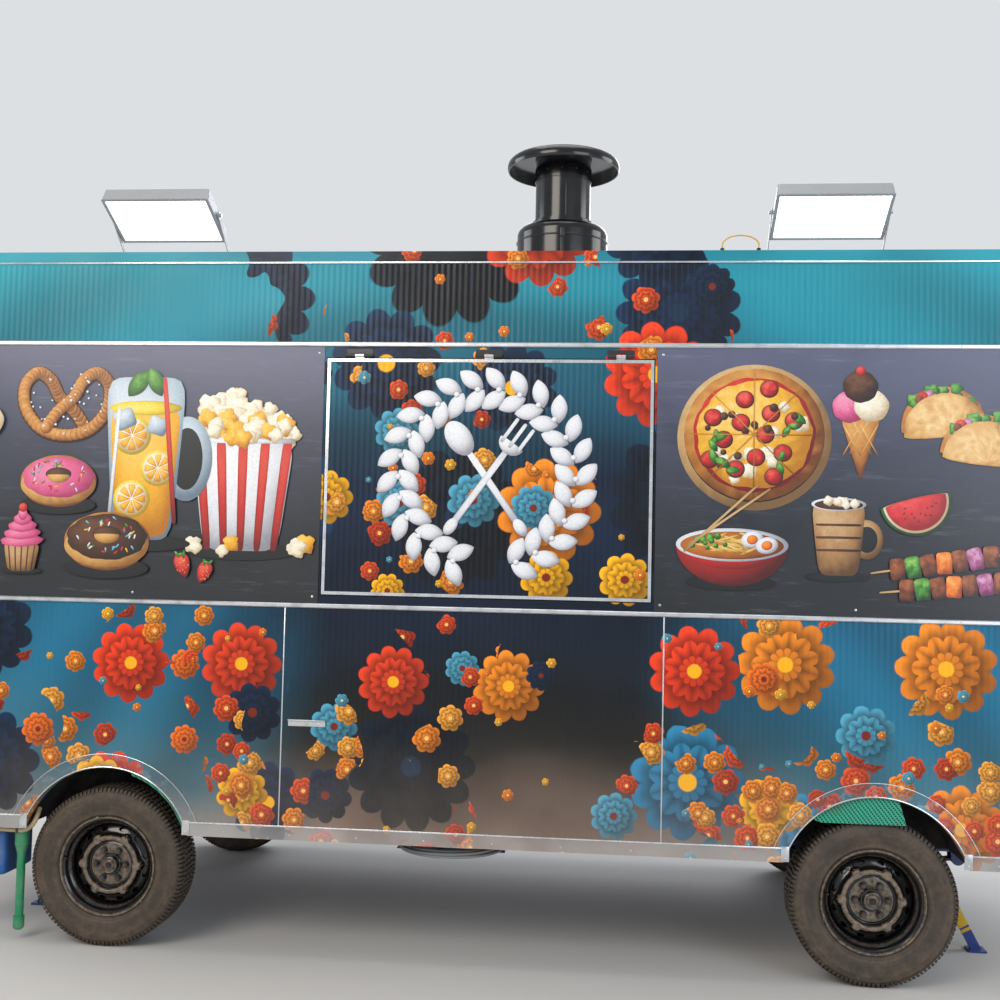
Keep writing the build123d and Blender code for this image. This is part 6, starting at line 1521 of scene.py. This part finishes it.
class TRAILER_OT_fixings(bpy.types.Operator):
    """Rivets the trims, joints the cladding, beads the roof edge and hangs the ledge"""
    bl_idname = "trailer.fixings"
    bl_label = "Trims and rivets"

    def execute(self, context):
        roof_low, roof_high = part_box("roof_trim")
        low = roof_low[2] + 0.006
        bead = [block("bead", (roof_low[0] - 0.0015, y - 0.003, low - 0.004),
                      (roof_high[0] + 0.0015, y + 0.003, low + 0.004), 0.0018)
                for y in (roof_low[1], roof_high[1])]
        bead += [block("bead", (x - 0.003, roof_low[1] - 0.0015, low - 0.004),
                       (x + 0.003, roof_high[1] + 0.0015, low + 0.004), 0.0018)
                 for x in (roof_low[0], roof_high[0])]
        for y, out in ((SERVICE_Y, -1), (FAR_Y, 1)):
            reach = math.sqrt((ARCH_R + 0.002) ** 2 - (SILL_TOP - ARCH_Z) ** 2)
            spans = [FRONT_X + 0.002, AXLE_X[0] - reach, AXLE_X[0] + reach, AXLE_X[1] - reach,
                     AXLE_X[1] + reach, REAR_X - 0.002]
            bead += [block("bead", (x0, min(y + out * 0.0020, y + out * 0.0058), SILL_TOP - 0.0060),
                           (x1, max(y + out * 0.0020, y + out * 0.0058), SILL_TOP + 0.0015), 0.0015)
                     for x0, x1 in zip(spans[::2], spans[1::2])]
        settle(joined("roof_and_sill_beads", bead), "trailer", "polished_aluminium_frame")
        joints, pins = [], []
        for y, out, at_x, top in ((SERVICE_Y, -1, (-0.458, 1.221), RAIL_LOW[2]),
                                  (FAR_Y, 1, (-0.438, 1.302), EAVES)):
            for x in at_x:
                rise = y + out * 0.0033
                joints.append(block("joint", (x - 0.0028, min(y, rise), SILL_TOP),
                                    (x + 0.0028, max(y, rise), top), 0.0006))
        settle(joined("cladding_joints", joints), "trailer", "drawn_aluminium")
        deep = FAR_Y - SERVICE_Y
        tall = EAVES - SILL_TOP
        for y, out in ((SERVICE_Y, -1), (FAR_Y, 1)):
            for x in (FRONT_X + 0.020, REAR_X - 0.020):
                pins.append(rivets((x, y + out * 0.0018, SILL_TOP + 0.06), (0, 0, 0.15),
                                   int((tall - 0.1) / 0.15), (0, out, 0)))
            sill_front = [(FRONT_X + 0.05, 2), (AXLE_X[0] + 0.55, 7), (AXLE_X[1] + 0.50, 2)]
            for x, count in sill_front:
                gap = 0.30 if count > 2 else 0.24
                pins.append(rivets((x, y + out * 0.0028, SILL_TOP - 0.040), (gap, 0, 0), count, (0, out, 0),
                                   0.005))
        for z in (RAIL_LOW[2] + 0.010, RAIL_HIGH[2] - 0.010):
            pins.append(rivets((FRONT_X + 0.14, RAIL_LOW[1] + 0.0003, z), (0.345, 0, 0), 15, (0, -1, 0), 0.0042,
                               0.0014))
        for x, out in ((FRONT_X, -1), (REAR_X, 1)):
            for y in (SERVICE_Y + 0.020, FAR_Y - 0.020):
                pins.append(rivets((x + out * 0.0018, y, SILL_TOP + 0.06), (0, 0, 0.15),
                                   int((tall - 0.1) / 0.15), (out, 0, 0)))
            pins.append(rivets((x + out * 0.0043, SERVICE_Y + 0.10, roof_high[2] - 0.024), (0, 0.20, 0),
                               int((deep - 0.1) / 0.2), (out, 0, 0)))
        settle(joined("trim_rivets", pins), "trailer", "zinc_fastener")
        hatch_low, hatch_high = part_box("hatch_panel")
        held = []
        for z in (hatch_low[2] - 0.007, hatch_high[2] + 0.007):
            held.append(rivets((hatch_low[0] + 0.08, hatch_low[1] - 0.002, z), (0.182, 0, 0), 8, (0, -1, 0),
                               0.0034, 0.0012))
        for x in (hatch_low[0] - 0.007, hatch_high[0] + 0.007):
            held.append(rivets((x, hatch_low[1] - 0.002, hatch_low[2] + 0.08), (0, 0, 0.218), 5, (0, -1, 0),
                               0.0034, 0.0012))
        settle(joined("hatch_frame_rivets", held), "hatch", "zinc_fastener")
        # short fold-down ledge under the front end of the hatch
        ledge = [block("ledge", (-0.428, SERVICE_Y - 0.020, 1.044), (-0.260, SERVICE_Y - 0.002, 1.0475), 0.001),
                 block("ledge", (-0.428, SERVICE_Y - 0.0050, 1.018), (-0.260, SERVICE_Y - 0.002, 1.0475),
                       0.001),
                 rivets((-0.400, SERVICE_Y - 0.0050, 1.031), (0.112, 0, 0), 2, (0, -1, 0))]
        settle(joined("hatch_stay_ledge", ledge), "trailer", "drawn_aluminium")
        return {"FINISHED"}


class TRAILER_OT_lamps(bpy.types.Operator):
    """Fits the floodlights with bezels, drivers and pivot knobs and the tail lamps with lenses"""
    bl_idname = "trailer.lamps"
    bl_label = "Lamps"

    def execute(self, context):
        wide, high, thick = LAMP_SIZE
        for name, x in zip(("front", "rear"), LAMP_X):
            clear()
            bpy.ops.mesh.primitive_plane_add(size=1, location=(0, 0, -thick / 2 - 0.0002))
            bezel = added("bezel")
            bezel.scale = (wide - 0.002, high - 0.002, 1)
            bake()
            edit(bezel, "FACE")
            bpy.ops.mesh.inset(thickness=0.013)
            bpy.ops.mesh.delete(type="FACE")
            bpy.ops.mesh.select_all(action="SELECT")
            pull((0, 0, -0.0024))
            leave_edit()
            tidy_mesh(bezel)
            driver = block("driver", (-0.085, -0.045, thick / 2 + 0.0175), (0.085, 0.045, thick / 2 + 0.046),
                           0.004)
            body = joined(f"floodlight_fittings_{name}", [bezel, driver])
            body.data.transform(Matrix.Translation((x, *LAMP_MIDDLE)) @ LAMP_TILT)
            settle(body, "trailer", "lamp_powder_coat")
            pins = []
            for side in (-1, 1):
                pins.append(rivets((-wide / 2 + 0.030, side * (high / 2 - 0.0072), -thick / 2 - 0.0025),
                                   ((wide - 0.06) / 3, 0, 0), 4, (0, 0, -1), 0.0036, 0.0016))
                pins.append(bolts((side * (wide / 2 + 0.0055), 0, 0), (0, 0, 0), 1, (side, 0, 0), 0.017, 0.008))
            pins = joined(f"floodlight_bolts_{name}", pins)
            pins.data.transform(Matrix.Translation((x, *LAMP_MIDDLE)) @ LAMP_TILT)
            settle(pins, "trailer", "zinc_fastener")
        lens_low, lens_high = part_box("tail_lamps")
        middle = (lens_low[2] + lens_high[2]) / 2
        rings, glows = [], []
        for y in (lens_low[1] + 0.120, lens_high[1] - 0.120):
            rings.append(framed("rim", (lens_high[0] - 0.0003, y, middle), 0.234, 0.094, 0.006, 0.003, ("X", 1),
                                0.0008))
            for k in (-1, 0, 1):
                clear()
                bpy.ops.mesh.primitive_uv_sphere_add(segments=32, ring_count=16, radius=1,
                                                     location=(lens_high[0] - 0.0005, y + k * 0.072, middle),
                                                     rotation=(0, math.pi / 2, 0),
                                                     scale=(0.030, 0.030, 0.007))
                glow = added("glow")
                bake()
                (glows if k else rings).append(glow)
        settle(joined("tail_lamp_rims", rings), "trailer", "black_nylon_fitting")
        settle(joined("tail_lamp_bulls_eyes", glows), "trailer", "red_lamp_lens")
        return {"FINISHED"}


class TRAILER_OT_exhaust(bpy.types.Operator):
    """Seams, bands and bolts the exhaust on the roof"""
    bl_idname = "trailer.exhaust"
    bl_label = "Exhaust"

    def execute(self, context):
        drum_low, drum_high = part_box("exhaust_drum")
        middle = ((drum_low[0] + drum_high[0]) / 2, (drum_low[1] + drum_high[1]) / 2)
        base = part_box("roof")[1][2]
        strip = block("strip", (middle[0] - 0.009, middle[1] - DRUM_R - 0.0022, base + 0.006),
                      (middle[0] + 0.009, middle[1] - DRUM_R + 0.002, 3.500), 0.0008)
        hook = block("strip", (middle[0] - 0.011, middle[1] - DRUM_R - 0.0090, 3.452),
                     (middle[0] + 0.011, middle[1] - DRUM_R - 0.0020, 3.498), 0.003)
        band = upright_lathe("band", [(DRUM_R - 0.001, 3.223), (DRUM_R + 0.0026, 3.224),
                                      (DRUM_R + 0.0026, 3.246), (DRUM_R - 0.001, 3.247)],
                             (middle[0], middle[1], 0), 96, closed=True)
        duct_seam = block("strip", (middle[0] + 0.012, middle[1] - DUCT_R - 0.0016, 3.590),
                          (middle[0] + 0.020, middle[1] - DUCT_R + 0.003, 3.790), 0.0006)
        around = (Matrix.Translation((*middle, 0)) @ Matrix.Rotation(math.radians(3.1), 4, "Z")
                  @ Matrix.Translation((-middle[0], -middle[1], 0)))
        for piece in (strip, hook, duct_seam):
            piece.data.transform(around)
        settle(joined("exhaust_seams", [strip, hook, duct_seam, band]), "trailer", "exhaust_flange_enamel", 40)
        flange = bolts((middle[0] + 0.262, middle[1], base + 0.004), (0, 0, 0), 1, (0, 0, 1), 0.013, 0.006)
        flange = ring_of(flange, 12, (*middle, 0), (0, 0, 1))
        seam_rivets = []
        for side in (-1, 1):
            seam_rivets.append(rivets((middle[0] + side * 0.0052, middle[1] - DRUM_R - 0.0020, base + 0.035),
                                      (0, 0, 0.040), 8, (0, -1, 0), 0.0026, 0.0012))
        row = joined("pins", seam_rivets)
        row.data.transform(around)
        rim = rivets((middle[0] + 0.2945, middle[1], 3.8700), (0, 0, 0), 1, (1, 0, 0), 0.0042, 0.0016)
        rim = ring_of(rim, 24, (*middle, 0), (0, 0, 1))
        collar = rivets((middle[0] + DUCT_R + 0.0040, middle[1], 3.845), (0, 0, 0), 1, (1, 0, 0), 0.0036,
                        0.0016)
        collar = ring_of(collar, 12, (*middle, 0), (0, 0, 1))
        settle(joined("exhaust_rivets", [flange, row, rim, collar]), "trailer", "exhaust_flange_enamel")
        return {"FINISHED"}


class TRAILER_OT_underside(bpy.types.Operator):
    """Bolts the springs, tapes the legs, fits the lead's strain relief and clips the hose"""
    bl_idname = "trailer.underside"
    bl_label = "Running gear"

    def execute(self, context):
        low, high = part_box("leaf_springs")
        spring_y = (low[1] + 0.030, high[1] - 0.030)
        rods = []
        for x in AXLE_X:
            for y in spring_y:
                for dx in (-0.040, 0.040):
                    rods.append(block("saddle", (x + dx - 0.006, y - 0.042, 0.4395),
                                      (x + dx + 0.006, y + 0.042, 0.4475), 0.003))
                    for dy in (-0.036, 0.036):
                        clear()
                        bpy.ops.mesh.primitive_cylinder_add(vertices=12, radius=0.0055, depth=0.142,
                                                            location=(x + dx, y + dy, 0.371))
                        rods.append(added("rod"))
                        bake()
                        rods.append(bolts((x + dx, y + dy, 0.3232), (0, 0, 0), 1, (0, 0, -1), 0.017, 0.009))
        settle(joined("spring_u_bolts", rods), "trailer", "zinc_fastener")
        for end, way in (("front", -1), ("rear", 1)):
            for side in ("service", "far"):
                leg_low, leg_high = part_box(f"leg_{end}_{side}")
                y_low, y_high = leg_low[1] + 0.029, leg_high[1] - 0.029
                pivot = Vector((AXLE_X[way > 0] + way * LEG_PIVOT[0], 0, LEG_PIVOT[1]))
                bands = []
                for near, far in ((0.285, 0.395), (0.405, 0.420)):
                    band = block("band", (-0.0232, y_low - 0.0008, -far), (0.0232, y_high + 0.0008, -near),
                                 0.0008)
                    band.data.transform(Matrix.Translation(pivot) @ Matrix.Rotation(-way * LEG_LEAN, 4, "Y"))
                    bands.append(band)
                settle(joined(f"leg_tape_{end}_{side}", bands), f"leg_{end}_{side}", "yellow_marker_tape")
        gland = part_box("lead_gland")
        leave = ((gland[0][0] + gland[1][0]) / 2, (gland[0][1] + gland[1][1]) / 2, gland[0][2])
        sleeve = [(0.0074, 0.0), (0.0122, 0.0)]
        for k in range(5):
            sleeve += [(0.0120 - 0.0007 * k, -0.002 - 0.006 * k), (0.0104 - 0.0006 * k, -0.004 - 0.006 * k)]
        sleeve += [(0.0086, -0.031), (0.0074, -0.031)]
        relief = upright_lathe("lead_strain_relief", [(r, leave[2] + h) for r, h in sleeve], leave, 24,
                               closed=True)
        settle(relief, "trailer", "black_nylon_fitting", 25)
        clips = []
        for x in (AXLE_X[0] - 0.540, AXLE_X[0] - 0.420):
            clips.append(lathe_x("clip", [(0.0112, -0.006), (0.0135, -0.006), (0.0135, 0.006), (0.0112, 0.006)],
                                 (x, SERVICE_Y + 0.036, 0.5025), 20))
        settle(joined("hose_clips", clips), "trailer", "black_nylon_fitting")
        return {"FINISHED"}


def lathe_x(name, profile, centre, steps):
    """A turned ring about the X axis through the centre: pairs of radius and reach along X."""
    points = [(centre[0] + a, centre[1], centre[2] + r) for r, a in profile]
    piece = drawn(name, points + [points[0]])
    edit(piece)
    bpy.ops.mesh.spin(steps=steps, angle=2 * math.pi, center=centre, axis=(1, 0, 0))
    return tidy_mesh(piece)


class TRAILER_OT_inside(bpy.types.Operator):
    """Lines the body with white panels and dresses the rear door"""
    bl_idname = "trailer.inside"
    bl_label = "Lining and door"

    def execute(self, context):
        floor_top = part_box("floor")[1][2] + 0.0005
        roof_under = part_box("roof")[0][2] - 0.0005
        x_low, x_high = FRONT_X + WALL + 0.0003, REAR_X - WALL - 0.0003
        y_low, y_high = SERVICE_Y + WALL + 0.0003, FAR_Y - WALL - 0.0003
        gauge = 0.0015
        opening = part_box("hatch_frame")
        door_low, door_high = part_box("rear_door")
        sheets = []
        for y, side in ((y_low, 1), (y_high, -1)):
            sheet = block("lining", (x_low, min(y, y + side * gauge), floor_top),
                          (x_high, max(y, y + side * gauge), roof_under), 0)
            cutters = arch_cutters(y, 0.4165, 0.02)
            if side == 1:
                cutters.append(block("cutter", (opening[0][0] - 0.004, y - 0.02, opening[0][2] - 0.004),
                                     (opening[1][0] + 0.004, y + 0.02, opening[1][2] + 0.060), 0))
            sheets.append(cut_away(sheet, cutters))
        sheets.append(block("lining", (x_low, y_low + gauge, floor_top),
                            (x_low + gauge, y_high - gauge, roof_under), 0))
        rear = block("lining", (x_high - gauge, y_low + gauge, floor_top), (x_high, y_high - gauge, roof_under),
                     0)
        sheets.append(cut_away(rear, [block("cutter", (x_high - 0.02, door_low[1] - 0.006, floor_top - 0.1),
                                            (x_high + 0.02, door_high[1] + 0.012, door_high[2] + 0.006), 0)]))
        sheets.append(block("lining", (x_low, y_low + gauge, roof_under - gauge),
                            (x_high, y_high - gauge, roof_under), 0))
        settle(joined("inner_lining", sheets), "trailer", "white_gelcoat")
        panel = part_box("hatch_panel")
        settle(block("hatch_lining", (panel[0][0] + 0.01, panel[1][1] + 0.0003, panel[0][2] + 0.01),
                     (panel[1][0] - 0.01, panel[1][1] + 0.0015, panel[1][2] - 0.01), 0.0004),
               "hatch", "white_gelcoat")
        settle(block("door_lining", (door_low[0] - 0.0015, door_low[1] + 0.01, door_low[2] + 0.01),
                     (door_low[0] - 0.0003, door_high[1] - 0.03, door_high[2] - 0.01), 0.0004),
               "rear_door", "white_gelcoat")
        look = context.scene.trailer_look
        door_far = door_low[1] + DOOR_WIDE
        mid_y = (door_low[1] + door_far) / 2
        settle(ribbed_sheet("cladding_door", look, 0.716, door_low[2] + 0.20, door_high[2] - 0.042,
                            (REAR_X, mid_y), math.pi / 2), "rear_door", "printed_vinyl_wrap")
        trim = framed("door_edge_trim", (REAR_X + 0.0002, mid_y, (door_low[2] + door_high[2]) / 2),
                      DOOR_WIDE - 0.004, DOOR_HIGH - 0.004, 0.038, 0.0016, ("X", 1))
        kick = block("kick", (REAR_X + 0.0002, door_low[1] + 0.042, door_low[2] + 0.040),
                     (REAR_X + 0.0020, door_far - 0.042, door_low[2] + 0.198), 0.0005)
        pins = [rivets((REAR_X + 0.0020, door_low[1] + 0.060, z), (0, 0.17, 0), 5, (1, 0, 0))
                for z in (door_low[2] + 0.055, door_low[2] + 0.180)]
        settle(joined("door_edge_trim", [trim, kick] + pins), "rear_door", "drawn_aluminium")
        return {"FINISHED"}


class TRAILER_OT_stage(bpy.types.Operator):
    """Lays the floor and sets the lights, the sky and the camera"""
    bl_idname = "trailer.stage"
    bl_label = "Floor, lights and camera"

    def execute(self, context):
        scene = context.scene
        scene.view_settings.view_transform = "Standard"
        clear()
        bpy.ops.mesh.primitive_grid_add(x_subdivisions=4, y_subdivisions=4, size=90, location=(0, 0, -0.0005))
        floor = added("studio_floor")
        node, place = start("studio_floor_paint")
        grain = node("TexNoise", {"Vector": place, "Scale": 3.0, "Detail": 4.0})
        tint = node("Mix", {0: node("MapRange", {"Value": grain, "To Max": 0.25}), 6: colour("#D5D3CF"),
                            7: colour("#CBC9C5")})
        away = node("VectorMath LENGTH", {0: place}).node.outputs["Value"]
        fade = node("MapRange", {"interpolation_type": "SMOOTHSTEP", "Value": away, "From Min": 4.5,
                                 "From Max": 12.0})
        tint = node("Mix", {0: fade, 6: tint, 7: colour("#000000")})
        shade(node, {"Base Color": tint, "Roughness": 0.75, "Specular IOR Level": 0.2,
                     "Emission Color": colour("#DDE0E3"), "Emission Strength": fade})
        floor.data.materials.append(FINISH["studio_floor_paint"])
        world = bpy.data.worlds.new("studio_sky")
        scene.world = world
        world.use_nodes = True
        world.node_tree.nodes.clear()
        node = partial(add, world.node_tree)
        path = node("LightPath").node
        seen = node("Math MAXIMUM", {0: path.outputs["Is Camera Ray"], 1: path.outputs["Is Transmission Ray"]})
        soft = node("Background", {"Color": colour("#E6ECF2"), "Strength": 0.55})
        backdrop = node("Background", {"Color": colour("#DDE0E3"), "Strength": 1.0})
        both = node("MixShader", {0: seen, 1: soft, 2: backdrop})
        node("OutputWorld", {"Surface": both})
        for name, place, size, power, tone in (
                ("key", (-3.2, -7.5, 5.6), 4.5, 330, "#FFF6EA"),
                ("fill", (5.5, -6.0, 3.2), 4.0, 150, "#EAF2FF"),
                ("over", (0.4, 0.0, 9.0), 5.0, 170, "#FFFFFF"), ("back", (1.5, 8.0, 5.2), 5.0, 300, "#F4F7FF"),
                ("front_end", (-8.0, 1.0, 4.0), 4.0, 170, "#FFFFFF"),
                ("rear_end", (8.5, 1.5, 4.0), 4.0, 170, "#FFFFFF")):
            clear()
            bpy.ops.object.light_add(type="AREA", location=place)
            lamp = context.object
            lamp.name = name
            lamp.data.size = size
            lamp.data.energy = power
            lamp.data.color = colour(tone)[:3]
            lamp.rotation_euler = (Vector((BODY_X, BODY_Y, 1.5))
                                   - Vector(place)).to_track_quat("-Z", "Y").to_euler()
        bpy.ops.object.camera_add()
        camera = context.object
        # the view of the photo: its turn, rise and tilt in degrees, then its place
        yaw, pitch, roll = (math.radians(a) for a in (5.7239, 3.2224, 1.2807))
        ahead = Vector((-math.sin(yaw) * math.cos(pitch), math.cos(yaw) * math.cos(pitch), math.sin(pitch)))
        right = Vector((math.cos(yaw), math.sin(yaw), 0))
        up = right.cross(ahead)
        across = math.cos(roll) * right + math.sin(roll) * up
        above = -math.sin(roll) * right + math.cos(roll) * up
        turned = Matrix((across, above, -ahead)).transposed().to_4x4()
        camera.matrix_world = Matrix.Translation((1.0419, -6.4230, 1.7292)) @ turned
        camera.data.lens = 44.786
        camera.data.sensor_width = 36
        camera.data.clip_end = 200
        scene.camera = camera
        return {"FINISHED"}


class TrailerLook(bpy.types.PropertyGroup):
    rib_pitch: bpy.props.FloatProperty(name="Rib pitch",
                                       description="Distance from one rib of the cladding to the next",
                                       default=0.0266, min=0.01, unit="LENGTH")
    rib_depth: bpy.props.FloatProperty(name="Rib depth", description="How far a rib stands out", default=0.0014,
                                       min=0.0002, unit="LENGTH")
    lug_count: bpy.props.IntProperty(name="Shoulder lugs", description="Lugs round the edge of a tyre",
                                     default=112, min=20)
    round_steps: bpy.props.IntProperty(name="Wheel steps", description="Faces round a tyre and rim", default=96,
                                       min=24)
    lobe_count: bpy.props.IntProperty(name="Wheel lobes", description="Lobes pressed in a wheel's disc",
                                      default=6, min=3)
    vent_count: bpy.props.IntProperty(name="Wheel vents", description="Vent holes in a wheel's disc",
                                      default=12, min=3)
    chassis_colour: bpy.props.FloatVectorProperty(name="Chassis",
                                                  description="Enamel of the chassis, drawbar and legs",
                                                  subtype="COLOR", size=4, min=0, max=1,
                                                  default=colour("#163F8F"))
    lamp_colour: bpy.props.FloatVectorProperty(name="Lamp housings",
                                               description="Powder coat of the floodlights",
                                               subtype="COLOR", size=4, min=0, max=1, default=colour("#9EA2A5"))
    exhaust_colour: bpy.props.FloatVectorProperty(name="Exhaust", description="Enamel of the roof exhaust",
                                                  subtype="COLOR", size=4, min=0, max=1,
                                                  default=colour("#0E0F11"))
    pipe_colour: bpy.props.FloatVectorProperty(name="Drain pipe", description="Plastic of the drain pipe",
                                               subtype="COLOR", size=4, min=0, max=1, default=colour("#1F8A5B"))
    tape_colour: bpy.props.FloatVectorProperty(name="Marker tape", description="Tape round the legs",
                                               subtype="COLOR", size=4, min=0, max=1, default=colour("#E3B716"))
    lamp_glow: bpy.props.FloatProperty(name="Lamp glow", description="Strength of the floodlight faces",
                                       default=4.0, min=0.0)


class TRAILER_PT_panel(bpy.types.Panel):
    """The trailer's pieces and what may be changed on them"""
    bl_idname = "TRAILER_PT_panel"
    bl_label = "Food trailer"
    bl_space_type = "VIEW_3D"
    bl_region_type = "UI"
    bl_category = "Trailer"

    def draw(self, context):
        for name in TrailerLook.__annotations__:
            self.layout.prop(context.scene.trailer_look, name)
        for step in STEPS:
            self.layout.operator(step.bl_idname)


STEPS = [TRAILER_OT_finishes, TRAILER_OT_stage, TRAILER_OT_lead, TRAILER_OT_panels, TRAILER_OT_boards,
         TRAILER_OT_tyres, TRAILER_OT_wheels, TRAILER_OT_arches, TRAILER_OT_fixings, TRAILER_OT_lamps,
         TRAILER_OT_exhaust, TRAILER_OT_underside, TRAILER_OT_inside]


def register():
    for made in [TrailerLook, TRAILER_PT_panel] + STEPS:
        bpy.utils.register_class(made)
    bpy.types.Scene.trailer_look = bpy.props.PointerProperty(type=TrailerLook)


def unregister():
    del bpy.types.Scene.trailer_look
    for made in reversed([TrailerLook, TRAILER_PT_panel] + STEPS):
        bpy.utils.unregister_class(made)


def main():
    register()
    for step in STEPS:
        group, name = step.bl_idname.split(".")
        getattr(getattr(bpy.ops, group), name)()
    clear()


if __name__ == "__main__":
    main()
